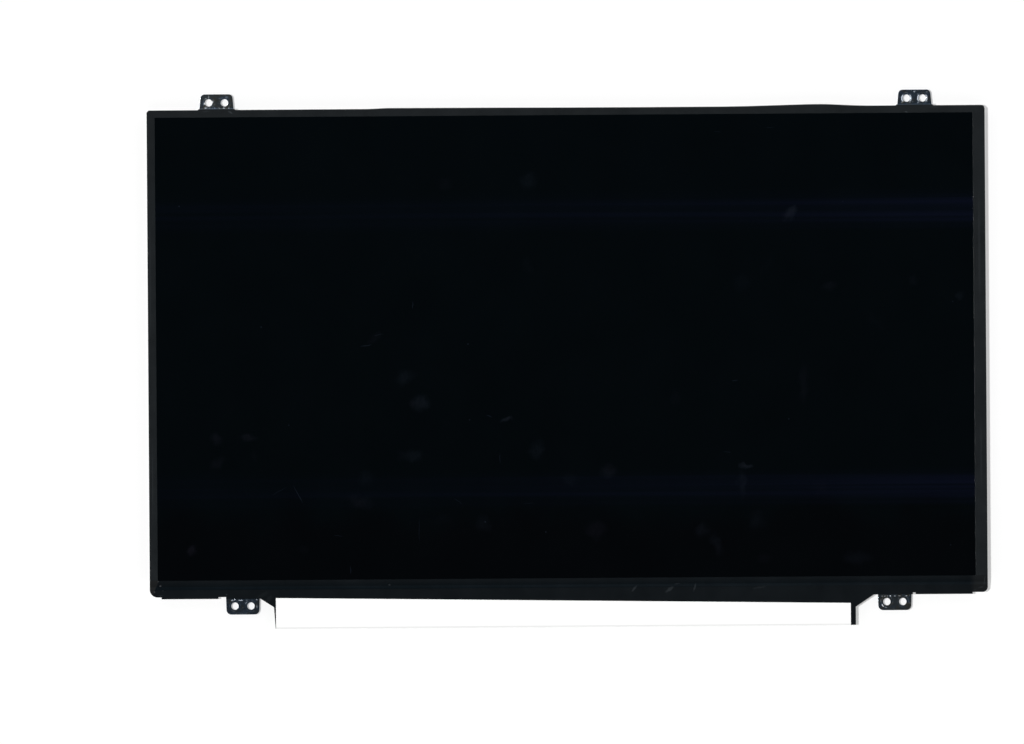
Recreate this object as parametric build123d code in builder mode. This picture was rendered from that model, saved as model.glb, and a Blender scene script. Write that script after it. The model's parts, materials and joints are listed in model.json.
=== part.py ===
"""Slim 14-inch liquid-crystal screen panel: folded cover, backlight, cell, control board and edge tapes.

Millimetres. X runs along the screen's width, Y up the screen and Z out of its face.
The origin is the centre of the taped outline, on the rear face of the back cover.
"""

import os

from build123d import *

os.makedirs("parts", exist_ok=True)

# Lit area of the screen, and the borders from it to the outline
ACTIVE_WIDTH = 309.4
ACTIVE_HEIGHT = 173.95
BORDER_LEFT = 4.6
BORDER_RIGHT = 6.4
BORDER_TOP = 4.35
BORDER_BOTTOM = 7.9

# Corner radii of the moulded frame, to which the cover and the tape add their own thickness
FRAME_CORNER_TOP = 0.52
FRAME_CORNER_BOTTOM_LEFT = 2.52
FRAME_CORNER_BOTTOM_RIGHT = 1.52

# Gauges of the sheets, from the back to the front
COVER_GAUGE = 0.3
REFLECTOR_GAUGE = 0.15
GUIDE_GAUGE = 0.6
DIFFUSER_GAUGE = 0.12
PRISM_GAUGE = 0.14
LEDGE_GAUGE = 0.45
BOND_GAUGE = 0.1
REAR_POLARIZER_GAUGE = 0.15
GLASS_GAUGE = 0.4
FRONT_POLARIZER_GAUGE = 0.2
TAPE_GAUGE = 0.08

# Play between pieces
FRAME_PLAY = 0.1
SHEET_PLAY = 0.3
CELL_PLAY = 0.25
STACK_PLAY = 0.05

# Margins past the lit area: the frame's window, the backlight sheets, the bond tape and the taped opening
WINDOW_MARGIN = 0.7
SHEET_MARGIN = 1.5
BOND_MARGIN = 0.9
BOND_WIDTH = 1.2
OPENING_MARGIN_LEFT = 1.5
OPENING_MARGIN_RIGHT = 1.8
OPENING_END = 1.55

# Laps under the edge tapes, and the array glass's ledge for the driver chips
POLARIZER_LAP = 0.5
GLASS_LAP = 0.9
GLASS_LEDGE = 3.0

# Locating ears on the sides of the backlight sheets
EAR_REACH = 1.0
EAR_WIDTH = 6.0
EAR_OFFSET = 52.0

# Back cover: bends, walls, open corners, snap slots and the pressed bead on its rear face
INNER_BEND = 0.2
WALL_DROP = 0.3
BOTTOM_WALL_DROP = 0.3
CORNER_RELIEF = 4.0
SNAP_LENGTH = 7.0
SNAP_HEIGHT = 0.9
SNAP_PITCH = 52.0
SNAP_COUNT = 3
SNAP_BRIDGE = 0.35
SNAP_PLAY = 0.1
BEAD_INSET = 9.0
BEAD_WIDTH = 2.4
BEAD_DEPTH = 0.12
BEAD_INNER_CORNER = 3.6

# Mounting brackets: a leg on the cover's wall and a tab with two screw holes
BRACKET_GAUGE = 0.4
BRACKET_BEND = 0.35
TAB_LEVEL = 1.0
TAB_ROOT_TOP = 13.1
TAB_ROOT_BOTTOM = 12.9
TAB_TAPER_TOP = 1.1
TAB_TAPER_BOTTOM = 0.4
TAB_CORNER_TOP = 1.6
TAB_CORNER_BOTTOM = 1.9
TAB_INSET_TOP = 26.8
TAB_INSET_BOTTOM = 35.6
TAB_REACH_TOP = 6.1
TAB_REACH_BOTTOM = 6.8
RISER_SHOULDER = 0.25
RISER_DROP = 0.1
HOLE_RADIUS = 1.4
HOLE_SPACING = 6.1
HOLE_TO_END = 3.25

# Light bar
LED_COUNT = 36
LED_LENGTH = 3.8
LED_DEPTH = 1.0
LED_PLAY = 0.03
LED_MARGIN = 5.3
LED_GAP = 0.05
LED_WINDOW = 0.12
LED_RIM = 0.1
LED_FLEX_GAUGE = 0.12
LED_FLEX_WIDTH = 3.6
LED_FLEX_TUCK = 1.0
GUIDE_FOOT = 2.4
FILM_FOOT = 2.0
SHADE_GAUGE = 0.06
TAIL_TO_BOARD_END = 33.45
TAIL_WIDTH = 8.0
TAIL_PLAY = 0.5
TAIL_RUN = 0.4
TAIL_STRAIGHT = 0.1
TAIL_GRIP = 1.5

# Driver chips on the glass ledge, and the flexes from the glass to the board
DRIVER_COUNT = 3
DRIVER_TO_BOARD_END = 41.45
DRIVER_LENGTH = 22.0
DRIVER_WIDTH = 1.0
DRIVER_HEIGHT = 0.3
DRIVER_GAP = 0.3
FLEX_GAUGE = 0.08
FLEX_WIDTH = 40.0
FLEX_TAPER = 4.0
FLEX_LAP = 1.35
FLEX_REACH = 2.3

# Control board, hung below the body behind the tape's flap
BOARD_GAUGE = 0.6
BOARD_GAP = 0.88
BOARD_HEIGHT = 11.45
BOARD_CORNER = 0.8
BOARD_TUCK = 0.5
BOARD_HOLE_RADIUS = 0.8
BOARD_HOLE_INSET = 2.4

# Video socket: moulded body, folded shell and a row of contacts
SOCKET_TO_BOARD_END = 24.45
SOCKET_WIDTH = 19.2
SOCKET_DEPTH = 4.2
SOCKET_HEIGHT = 1.1
SOCKET_WALL = 0.9
SOCKET_ROOF = 0.35
SOCKET_BACK = 0.8
SHELL_GAUGE = 0.12
SHELL_EAR = 1.2
CONTACT_COUNT = 30
CONTACT_PITCH = 0.5
CONTACT_WIDTH = 0.2
CONTACT_GAUGE = 0.12
CONTACT_TAIL = 0.7
CONTACT_INSET = 0.4

# Backlight socket, its slot and its locking flap
LIGHT_SOCKET_WIDTH = 10.4
LIGHT_SOCKET_DEPTH = 3.4
LIGHT_SOCKET_HEIGHT = 1.0
LIGHT_SOCKET_SETBACK = 1.0
LIGHT_FLAP_DEPTH = 1.1
LIGHT_FLAP_DROP = 0.15

# Chips and coils on the rear of the board, placed from the board's middle or from the backlight socket
CHIP_EDGE = 0.12
TIMING_CHIP_OFFSET = -30.0
TIMING_CHIP_SIZE = 8.0
TIMING_CHIP_HEIGHT = 0.9
POWER_CHIP_OFFSET = 11.0
POWER_CHIP_SIZE = 5.0
POWER_CHIP_HEIGHT = 0.8
LIGHT_CHIP_GAP = 13.8
LIGHT_CHIP_SIZE = 4.0
LIGHT_CHIP_HEIGHT = 0.8
MEMORY_OFFSET = -19.0
MEMORY_LENGTH = 4.9
MEMORY_WIDTH = 3.9
MEMORY_HEIGHT = 1.2
MEMORY_STANDOFF = 0.1
LEAD_COUNT = 4
LEAD_PITCH = 1.27
LEAD_WIDTH = 0.42
LEAD_REACH = 1.0
LEAD_GAUGE = 0.2
POWER_COIL_OFFSET = 18.5
LIGHT_COIL_GAP = 7.3
COIL_SIZE = 4.4
COIL_HEIGHT = 1.2
COIL_CORNER = 1.0
COIL_CORE_RADIUS = 1.5
COIL_CORE_DEPTH = 0.2
POWER_DIODE_OFFSET = 24.0
LIGHT_DIODE_GAP = 2.8
DIODE_LENGTH = 2.6
DIODE_WIDTH = 1.6
DIODE_HEIGHT = 0.9

# Rows of small parts beside the video socket, at the board's middle and on both sides of the backlight socket
CAPACITOR_LENGTH = 1.6
CAPACITOR_WIDTH = 0.85
CAPACITOR_HEIGHT = 0.8
CAPACITOR_PITCH = 2.6
RESISTOR_LENGTH = 1.0
RESISTOR_WIDTH = 0.5
RESISTOR_HEIGHT = 0.35
RESISTOR_PITCH = 1.5
ROW_LIFT = 3.0
VIDEO_CAPACITOR_GAP = 2.1
VIDEO_CAPACITOR_COUNT = 5
POWER_CAPACITOR_OFFSET = 0.5
POWER_CAPACITOR_COUNT = 3
COIL_CAPACITOR_OFFSET = 27.0
COIL_CAPACITOR_COUNT = 4
LIGHT_CAPACITOR_INSET = 0.8
LIGHT_CAPACITOR_COUNT = 7
TIMING_RESISTOR_OFFSET = -44.0
TIMING_RESISTOR_COUNT = 6
MEMORY_RESISTOR_OFFSET = -14.0
MEMORY_RESISTOR_COUNT = 8
COIL_RESISTOR_OFFSET = 26.0
COIL_RESISTOR_COUNT = 8
LIGHT_RESISTOR_GAP = 15.8
LIGHT_RESISTOR_COUNT = 4
END_RESISTOR_GAP = 4.8
END_RESISTOR_COUNT = 8
END_RESISTOR_SHIFT = 4.0

# Ground foils from the board to the cover's bottom wall
FOIL_GAUGE = 0.05
FOIL_OFFSETS = (-10.0, 33.0)
FOIL_WIDTH = 12.0
FOIL_LAP = 3.4
FOIL_DROP = 1.5

# Edge tapes: skirts down the walls, chamfered corners and loose bulges of the top tape
SKIRT_FOOT = 0.6
RISER_SKIRT = 1.2
TAPE_CORNER_LEFT = 0.8
TAPE_CORNER_RIGHT = 1.15
BULGE_SMALL = 0.3
BULGE_SMALL_FROM_TAB = 57.6
BULGE_SMALL_RISE = 8.0
BULGE_SMALL_END = 30.0
BULGE_LARGE = 0.7
BULGE_LARGE_START = 60.0
BULGE_LARGE_FALL = 19.0
BULGE_LARGE_FROM_TAB = 17.6

# Bottom tape: its step down to the board, the flaps that hang past the wall, the notches and the board flap,
# whose edges are measured from the middles of the tabs
STEP_RUN = 1.45
OVERHANG = 0.7
OVERHANG_DROP = 1.2
NOTCH_LEFT = 4.5
NOTCH_RIGHT = 5.8
GAP_LEFT = 2.9
GAP_RIGHT = 1.0
FLAP_LEFT = 11.85
FLAP_RIGHT = 14.9
FLAP_TAPER = 0.6
SHOULDER_LEFT_RUN = 5.2
SHOULDER_LEFT_DROP = 3.3
SHOULDER_RIGHT_RUN = 6.95
SHOULDER_RIGHT_DROP = 4.6

# White film that wraps the board's lower edge, stuck on slightly askew
FILM_GAUGE = 0.08
FILM_LEFT = 0.75
FILM_RIGHT = 1.93
FILM_TOP_LEFT = 0.5
FILM_TOP_RIGHT = 3.85
FILM_LIP = 1.2
FILM_CUT_PLAY = 0.6

# Outline, lit area and taped opening
OUTLINE_WIDTH = BORDER_LEFT + ACTIVE_WIDTH + BORDER_RIGHT
OUTLINE_HEIGHT = BORDER_BOTTOM + ACTIVE_HEIGHT + BORDER_TOP
LEFT = -OUTLINE_WIDTH / 2
RIGHT = OUTLINE_WIDTH / 2
BOTTOM = -OUTLINE_HEIGHT / 2
TOP = OUTLINE_HEIGHT / 2
SCREEN_LEFT = LEFT + BORDER_LEFT
SCREEN_RIGHT = RIGHT - BORDER_RIGHT
SCREEN_BOTTOM = BOTTOM + BORDER_BOTTOM
SCREEN_TOP = TOP - BORDER_TOP
OPENING_LEFT = SCREEN_LEFT - OPENING_MARGIN_LEFT
OPENING_RIGHT = SCREEN_RIGHT + OPENING_MARGIN_RIGHT
OPENING_BOTTOM = SCREEN_BOTTOM - OPENING_END
OPENING_TOP = SCREEN_TOP + OPENING_END

# Faces of the cover's walls, under the tape, and the middles of the tabs
WALL_WIDTH = OUTLINE_WIDTH - 2 * TAPE_GAUGE
WALL_HEIGHT = OUTLINE_HEIGHT - 2 * TAPE_GAUGE
WALL_BOTTOM = BOTTOM + TAPE_GAUGE
FRAME_INSET = TAPE_GAUGE + COVER_GAUGE + FRAME_PLAY
COVER_BEND = INNER_BEND + COVER_GAUGE
TAB_OFFSET_TOP = OUTLINE_WIDTH / 2 - TAB_INSET_TOP
TAB_OFFSET_BOTTOM = OUTLINE_WIDTH / 2 - TAB_INSET_BOTTOM

# Levels of the stack, from the rear face
REFLECTOR_TOP = COVER_GAUGE + REFLECTOR_GAUGE
GUIDE_TOP = REFLECTOR_TOP + GUIDE_GAUGE
DIFFUSER_TOP = GUIDE_TOP + DIFFUSER_GAUGE
LOWER_PRISM_TOP = DIFFUSER_TOP + PRISM_GAUGE
UPPER_PRISM_TOP = LOWER_PRISM_TOP + PRISM_GAUGE
LEDGE_FOOT = UPPER_PRISM_TOP + STACK_PLAY
LEDGE_TOP = LEDGE_FOOT + LEDGE_GAUGE
BOND_TOP = LEDGE_TOP + BOND_GAUGE
REAR_POLARIZER_TOP = BOND_TOP + REAR_POLARIZER_GAUGE
ARRAY_TOP = REAR_POLARIZER_TOP + GLASS_GAUGE
FILTER_TOP = ARRAY_TOP + GLASS_GAUGE
SCREEN_LEVEL = FILTER_TOP + FRONT_POLARIZER_GAUGE
WALL_TOP = SCREEN_LEVEL - WALL_DROP
BOTTOM_WALL_TOP = ARRAY_TOP - BOTTOM_WALL_DROP
SNAP_LEVEL = WALL_TOP - SNAP_BRIDGE - SNAP_HEIGHT / 2
FLEX_TOP = ARRAY_TOP + FLEX_GAUGE
FLAP_TOP = FLEX_TOP + TAPE_GAUGE
BOARD_BACK = ARRAY_TOP - BOARD_GAUGE

# Edges along the foot of the screen, from the cell down to the board
FILTER_BOTTOM = OPENING_BOTTOM - GLASS_LAP
ARRAY_BOTTOM = FILTER_BOTTOM - GLASS_LEDGE
GUIDE_BOTTOM = SCREEN_BOTTOM - GUIDE_FOOT
LED_FLEX_TOP_EDGE = GUIDE_BOTTOM + LED_FLEX_TUCK
LED_FLEX_BOTTOM = LED_FLEX_TOP_EDGE - LED_FLEX_WIDTH
STEP_TOP_EDGE = FILTER_BOTTOM - DRIVER_GAP - DRIVER_WIDTH
STEP_BOTTOM_EDGE = STEP_TOP_EDGE - STEP_RUN
BOARD_TOP_EDGE = WALL_BOTTOM - BOARD_GAP
BOARD_BOTTOM = BOARD_TOP_EDGE - BOARD_HEIGHT
BOARD_MIDDLE = (BOARD_TOP_EDGE + BOARD_BOTTOM) / 2

# Edges and middles along the width, from the tape's flap to the board behind it
FLAP_LEFT_EDGE = FLAP_LEFT - TAB_OFFSET_BOTTOM
FLAP_RIGHT_EDGE = TAB_OFFSET_BOTTOM - FLAP_RIGHT
BOARD_LEFT = FLAP_LEFT_EDGE + BOARD_TUCK
BOARD_RIGHT = FLAP_RIGHT_EDGE - BOARD_TUCK
BOARD_X = (BOARD_LEFT + BOARD_RIGHT) / 2
SCREEN_X = (SCREEN_LEFT + SCREEN_RIGHT) / 2
TAIL_X = BOARD_RIGHT - TAIL_TO_BOARD_END
LIGHT_SOCKET_LEFT = TAIL_X - LIGHT_SOCKET_WIDTH / 2
LIGHT_SOCKET_RIGHT = TAIL_X + LIGHT_SOCKET_WIDTH / 2
SOCKET_X = BOARD_LEFT + SOCKET_TO_BOARD_END
SHELL_REACH = SOCKET_WIDTH / 2 + SHELL_GAUGE + SHELL_EAR
DRIVER_PITCH = (BOARD_RIGHT - BOARD_LEFT - 2 * DRIVER_TO_BOARD_END) / (DRIVER_COUNT - 1)


def save(piece, name):
    """Label a finished piece and write it to a file of its own."""
    piece.part.label = name
    export_step(piece.part, f"parts/{name}.step")


def area(left, right, bottom, top, mode=Mode.ADD):
    """Sketch a rectangle between four edges."""
    with Locations(((left + right) / 2, (bottom + top) / 2)):
        Rectangle(right - left, top - bottom, mode=mode)


def screen_area(side, top, bottom, mode=Mode.ADD):
    """Sketch a rectangle that reaches past the lit area by the given margins."""
    area(SCREEN_LEFT - side, SCREEN_RIGHT + side, SCREEN_BOTTOM - bottom, SCREEN_TOP + top, mode)


def opening_area(lap, bottom_edge):
    """Sketch a rectangle that laps under the tapes round the opening, down to its own bottom edge."""
    area(OPENING_LEFT - lap, OPENING_RIGHT + lap, bottom_edge, OPENING_TOP + lap)


def body_area(inset):
    """Sketch the body's outline, moved in, with the radius of each corner."""
    corners = (
        (LEFT + inset, BOTTOM + inset),
        (RIGHT - inset, BOTTOM + inset),
        (RIGHT - inset, TOP - inset),
        (LEFT + inset, TOP - inset),
    )
    frame_radii = (FRAME_CORNER_BOTTOM_LEFT, FRAME_CORNER_BOTTOM_RIGHT, FRAME_CORNER_TOP, FRAME_CORNER_TOP)
    with BuildLine() as outline:
        FilletPolyline(*corners, radius=[radius + FRAME_INSET - inset for radius in frame_radii], close=True)
    make_face(outline.edges())


def sheet_area(foot, play=0.0):
    """Sketch a backlight sheet with its locating ears, grown all round by the play of its pocket."""
    margin = SHEET_MARGIN + play
    screen_area(margin, margin, foot + play)
    for middle in (-EAR_OFFSET, EAR_OFFSET):
        area(
            SCREEN_LEFT - margin - EAR_REACH,
            SCREEN_RIGHT + margin + EAR_REACH,
            middle - EAR_WIDTH / 2 - play,
            middle + EAR_WIDTH / 2 + play,
        )


# Back cover: a folded metal tray with open corners, snap slots and a low bottom wall
with BuildPart() as back_cover:
    with BuildSketch():
        body_area(TAPE_GAUGE)
    extrude(amount=WALL_TOP)
    fillet(back_cover.faces().sort_by(Axis.Z)[0].edges(), COVER_BEND)
    offset(amount=-COVER_GAUGE, openings=back_cover.faces().sort_by(Axis.Z)[-1])
    with BuildSketch(Plane.XY.offset(COVER_BEND)):
        with GridLocations(WALL_WIDTH, WALL_HEIGHT, 2, 2):
            Rectangle(2 * CORNER_RELIEF, 2 * CORNER_RELIEF)
    extrude(amount=WALL_TOP, mode=Mode.SUBTRACT)
    with BuildSketch(Plane.XY.offset(BOTTOM_WALL_TOP)):
        with Locations((0, WALL_BOTTOM)):
            Rectangle(WALL_WIDTH, 2 * CORNER_RELIEF)
    extrude(amount=WALL_TOP, mode=Mode.SUBTRACT)
    with BuildSketch(Plane.XY.offset(COVER_GAUGE)):
        with Locations((TAIL_X, WALL_BOTTOM)):
            Rectangle(TAIL_WIDTH + 2 * TAIL_PLAY, 2 * CORNER_RELIEF)
    extrude(amount=LED_FLEX_GAUGE + TAIL_PLAY, mode=Mode.SUBTRACT)
    with BuildSketch(Plane.YZ):
        with Locations((0, SNAP_LEVEL)):
            with GridLocations(SNAP_PITCH, 0, SNAP_COUNT, 1):
                Rectangle(SNAP_LENGTH, SNAP_HEIGHT)
    extrude(amount=WALL_WIDTH, both=True, mode=Mode.SUBTRACT)
    with BuildSketch():
        RectangleRounded(
            WALL_WIDTH - 2 * BEAD_INSET,
            WALL_HEIGHT - 2 * BEAD_INSET,
            BEAD_INNER_CORNER + BEAD_WIDTH,
        )
        RectangleRounded(
            WALL_WIDTH - 2 * (BEAD_INSET + BEAD_WIDTH),
            WALL_HEIGHT - 2 * (BEAD_INSET + BEAD_WIDTH),
            BEAD_INNER_CORNER,
            mode=Mode.SUBTRACT,
        )
    extrude(amount=BEAD_DEPTH, mode=Mode.SUBTRACT)
save(back_cover, "back_cover")

# Moulded frame: a pocket for the backlight, a ledge for the cell and snaps in the cover's slots
with BuildPart() as moulded_frame:
    with BuildSketch(Plane.XY.offset(COVER_GAUGE)):
        body_area(FRAME_INSET)
    extrude(amount=SCREEN_LEVEL - COVER_GAUGE)
    chamfer(moulded_frame.faces().sort_by(Axis.Z)[0].edges(), COVER_BEND - COVER_GAUGE)
    with BuildSketch(Plane.XY.offset(COVER_GAUGE)):
        sheet_area(SCREEN_BOTTOM - LED_FLEX_BOTTOM, SHEET_PLAY)
    extrude(amount=LEDGE_FOOT - COVER_GAUGE, mode=Mode.SUBTRACT)
    with BuildSketch(Plane.XY.offset(LEDGE_FOOT)):
        screen_area(WINDOW_MARGIN, WINDOW_MARGIN, WINDOW_MARGIN)
    extrude(amount=LEDGE_GAUGE, mode=Mode.SUBTRACT)
    with BuildSketch(Plane.XY.offset(LEDGE_TOP)):
        opening_area(GLASS_LAP + CELL_PLAY, ARRAY_BOTTOM - CELL_PLAY)
    extrude(amount=SCREEN_LEVEL - LEDGE_TOP, mode=Mode.SUBTRACT)
    with BuildSketch(Plane.YZ):
        with BuildLine():
            Polyline(
                (STEP_TOP_EDGE, SCREEN_LEVEL),
                (STEP_BOTTOM_EDGE, ARRAY_TOP - STACK_PLAY),
                (BOTTOM, ARRAY_TOP - STACK_PLAY),
                (BOTTOM, SCREEN_LEVEL),
                close=True,
            )
        make_face()
    extrude(amount=OUTLINE_WIDTH, both=True, mode=Mode.SUBTRACT)
    with BuildSketch(Plane.XY.offset(COVER_GAUGE)):
        with Locations((TAIL_X, WALL_BOTTOM)):
            Rectangle(TAIL_WIDTH + 2 * TAIL_PLAY, 2 * CORNER_RELIEF)
    extrude(amount=LED_FLEX_GAUGE + TAIL_PLAY, mode=Mode.SUBTRACT)
    for side in (-1, 1):
        with BuildSketch(Plane.YZ.offset(side * WALL_WIDTH / 2)):
            with Locations((0, SNAP_LEVEL)):
                with GridLocations(SNAP_PITCH, 0, SNAP_COUNT, 1):
                    Rectangle(SNAP_LENGTH - 2 * SNAP_PLAY, SNAP_HEIGHT - 2 * SNAP_PLAY)
        extrude(amount=-side * (COVER_GAUGE + FRAME_PLAY))
save(moulded_frame, "moulded_frame")


def mounting_bracket(name, middle, side, reach, widths, corner, riser_top):
    """Fold one bracket: a leg on the cover's top or bottom wall and a tapered tab with two screw holes."""
    riser_width, root_width, end_width = widths
    face = side * WALL_HEIGHT / 2
    with BuildPart() as bracket:
        with BuildSketch(Plane.YZ.offset(middle - riser_width / 2)):
            with BuildLine():
                Polyline(
                    (face, riser_top),
                    (face, TAB_LEVEL),
                    (face + side * reach, TAB_LEVEL),
                    (face + side * reach, TAB_LEVEL + BRACKET_GAUGE),
                    (face + side * BRACKET_GAUGE, TAB_LEVEL + BRACKET_GAUGE),
                    (face + side * BRACKET_GAUGE, riser_top),
                    close=True,
                )
            make_face()
        extrude(amount=riser_width)
        outwards = Axis((0, 0, 0), (0, side, 0))
        folds = bracket.edges().filter_by(Axis.X)
        inner_fold = folds.group_by(outwards)[1].sort_by(Axis.Z)[0]
        outer_fold = folds.group_by(outwards)[0].sort_by(Axis.Z)[0]
        fillet(inner_fold, BRACKET_BEND)
        fillet(outer_fold, BRACKET_BEND + BRACKET_GAUGE)
        root = face + side * BRACKET_GAUGE
        end = face + side * reach
        for hand in (-1, 1):
            with BuildSketch(Plane.XY.offset(TAB_LEVEL)):
                with BuildLine() as waste:
                    Polyline(
                        (middle + hand * root_width / 2, root),
                        (middle + hand * end_width / 2, end),
                        (middle + hand * riser_width, end),
                        (middle + hand * riser_width, root),
                        close=True,
                    )
                make_face(waste.edges())
            extrude(amount=riser_top, mode=Mode.SUBTRACT)
        end_edges = bracket.edges().filter_by(Axis.Z).group_by(outwards)[-1]
        fillet(end_edges, corner)
        with BuildSketch(Plane.XY.offset(TAB_LEVEL)):
            with Locations((middle, face + side * (reach - HOLE_TO_END))):
                with GridLocations(HOLE_SPACING, 0, 2, 1):
                    Circle(HOLE_RADIUS)
        extrude(amount=BRACKET_GAUGE, mode=Mode.SUBTRACT)
    save(bracket, name)


# Mounting brackets: wide risers at the top, plain ones at the bottom
WIDE_RISER = TAB_ROOT_TOP + 2 * RISER_SHOULDER
TOP_WIDTHS = (WIDE_RISER, TAB_ROOT_TOP, TAB_ROOT_TOP - TAB_TAPER_TOP)
BOTTOM_WIDTHS = (TAB_ROOT_BOTTOM, TAB_ROOT_BOTTOM, TAB_ROOT_BOTTOM - TAB_TAPER_BOTTOM)
TOP_RISER = WALL_TOP - RISER_DROP
BOTTOM_RISER = BOTTOM_WALL_TOP - RISER_DROP
for label, hand in (("left", -1), ("right", 1)):
    mounting_bracket(
        f"bracket_top_{label}", hand * TAB_OFFSET_TOP, 1,
        TAB_REACH_TOP, TOP_WIDTHS, TAB_CORNER_TOP, TOP_RISER,
    )
    mounting_bracket(
        f"bracket_bottom_{label}", hand * TAB_OFFSET_BOTTOM, -1,
        TAB_REACH_BOTTOM, BOTTOM_WIDTHS, TAB_CORNER_BOTTOM, BOTTOM_RISER,
    )

# Backlight sheets, each seated on the one behind it
with BuildPart() as reflector_sheet:
    with BuildSketch(Plane.XY.offset(COVER_GAUGE)):
        sheet_area(SCREEN_BOTTOM - LED_FLEX_TOP_EDGE - STACK_PLAY)
    extrude(amount=REFLECTOR_GAUGE)
save(reflector_sheet, "reflector_sheet")

with BuildPart() as light_guide:
    with BuildSketch(Plane.XY.offset(REFLECTOR_TOP)):
        sheet_area(GUIDE_FOOT)
    extrude(amount=GUIDE_GAUGE)
save(light_guide, "light_guide")

with BuildPart() as diffuser_film:
    with BuildSketch(Plane.XY.offset(GUIDE_TOP)):
        sheet_area(FILM_FOOT)
    extrude(amount=DIFFUSER_GAUGE)
save(diffuser_film, "diffuser_film")

for label, level in (("lower", DIFFUSER_TOP), ("upper", LOWER_PRISM_TOP)):
    with BuildPart() as prism_film:
        with BuildSketch(Plane.XY.offset(level)):
            sheet_area(FILM_FOOT)
        extrude(amount=PRISM_GAUGE)
    save(prism_film, f"{label}_prism_film")

# Light bar: a flex strip with a tail to the board, a row of side-firing lamps and a shading tape
LIGHT_SOCKET_MOUTH = BOARD_TOP_EDGE - LIGHT_SOCKET_SETBACK
TAIL_BEND_EDGE = BOTTOM - TAIL_RUN
TAIL_RISE_EDGE = LIGHT_SOCKET_MOUTH + TAIL_STRAIGHT
TAIL_END_EDGE = LIGHT_SOCKET_MOUTH - TAIL_GRIP
TAIL_LEVEL = BOARD_BACK - (LIGHT_SOCKET_HEIGHT + LED_FLEX_GAUGE) / 2
with BuildPart() as led_flex:
    with BuildSketch(Plane.XY.offset(COVER_GAUGE)):
        area(SCREEN_LEFT, SCREEN_RIGHT, LED_FLEX_BOTTOM, LED_FLEX_TOP_EDGE)
    extrude(amount=LED_FLEX_GAUGE)
    with BuildSketch(Plane.YZ.offset(TAIL_X - TAIL_WIDTH / 2)):
        with BuildLine():
            Polyline(
                (LED_FLEX_BOTTOM, COVER_GAUGE),
                (TAIL_BEND_EDGE, COVER_GAUGE),
                (TAIL_RISE_EDGE, TAIL_LEVEL),
                (TAIL_END_EDGE, TAIL_LEVEL),
                (TAIL_END_EDGE, TAIL_LEVEL + LED_FLEX_GAUGE),
                (TAIL_RISE_EDGE, TAIL_LEVEL + LED_FLEX_GAUGE),
                (TAIL_BEND_EDGE, COVER_GAUGE + LED_FLEX_GAUGE),
                (LED_FLEX_BOTTOM, COVER_GAUGE + LED_FLEX_GAUGE),
                close=True,
            )
        make_face()
    extrude(amount=TAIL_WIDTH)
save(led_flex, "led_flex")

LED_FACE = GUIDE_BOTTOM - LED_GAP
LED_BASE = COVER_GAUGE + LED_FLEX_GAUGE
LED_HEIGHT = GUIDE_TOP - LED_BASE - LED_PLAY
LED_PITCH = (ACTIVE_WIDTH - 2 * LED_MARGIN) / LED_COUNT
with BuildPart() as led_packages:
    with BuildSketch(Plane.XY.offset(LED_BASE)):
        with Locations((SCREEN_X, LED_FACE - LED_DEPTH / 2)):
            with GridLocations(LED_PITCH, 0, LED_COUNT, 1):
                Rectangle(LED_LENGTH, LED_DEPTH)
    extrude(amount=LED_HEIGHT)
    with BuildSketch(Plane.XY.offset(LED_BASE + LED_RIM)):
        with Locations((SCREEN_X, LED_FACE - LED_WINDOW / 2)):
            with GridLocations(LED_PITCH, 0, LED_COUNT, 1):
                Rectangle(LED_LENGTH - 2 * LED_RIM, LED_WINDOW)
    extrude(amount=LED_HEIGHT - 2 * LED_RIM, mode=Mode.SUBTRACT)
save(led_packages, "led_packages")

with BuildPart() as lamp_shade_tape:
    with BuildSketch(Plane.XY.offset(GUIDE_TOP)):
        area(SCREEN_LEFT, SCREEN_RIGHT, LED_FLEX_BOTTOM, SCREEN_BOTTOM - FILM_FOOT - STACK_PLAY)
    extrude(amount=SHADE_GAUGE)
save(lamp_shade_tape, "lamp_shade_tape")

# Liquid-crystal cell: bond tape on the frame's ledge, two polarizers and two glasses
with BuildPart() as cell_bond_tape:
    with BuildSketch(Plane.XY.offset(LEDGE_TOP)):
        screen_area(BOND_MARGIN + BOND_WIDTH, BOND_MARGIN + BOND_WIDTH, BOND_MARGIN + BOND_WIDTH)
        screen_area(BOND_MARGIN, BOND_MARGIN, BOND_MARGIN, mode=Mode.SUBTRACT)
    extrude(amount=BOND_GAUGE)
save(cell_bond_tape, "cell_bond_tape")

with BuildPart() as rear_polarizer:
    with BuildSketch(Plane.XY.offset(BOND_TOP)):
        screen_area(BOND_MARGIN + BOND_WIDTH, BOND_MARGIN + BOND_WIDTH, BOND_MARGIN + BOND_WIDTH)
    extrude(amount=REAR_POLARIZER_GAUGE)
save(rear_polarizer, "rear_polarizer")

with BuildPart() as array_glass:
    with BuildSketch(Plane.XY.offset(REAR_POLARIZER_TOP)):
        opening_area(GLASS_LAP, ARRAY_BOTTOM)
    extrude(amount=GLASS_GAUGE)
save(array_glass, "array_glass")

with BuildPart() as filter_glass:
    with BuildSketch(Plane.XY.offset(ARRAY_TOP)):
        opening_area(GLASS_LAP, FILTER_BOTTOM)
    extrude(amount=GLASS_GAUGE)
save(filter_glass, "filter_glass")

with BuildPart() as front_polarizer:
    with BuildSketch(Plane.XY.offset(FILTER_TOP)):
        opening_area(POLARIZER_LAP, OPENING_BOTTOM - POLARIZER_LAP)
    extrude(amount=FRONT_POLARIZER_GAUGE)
save(front_polarizer, "front_polarizer")

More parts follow.
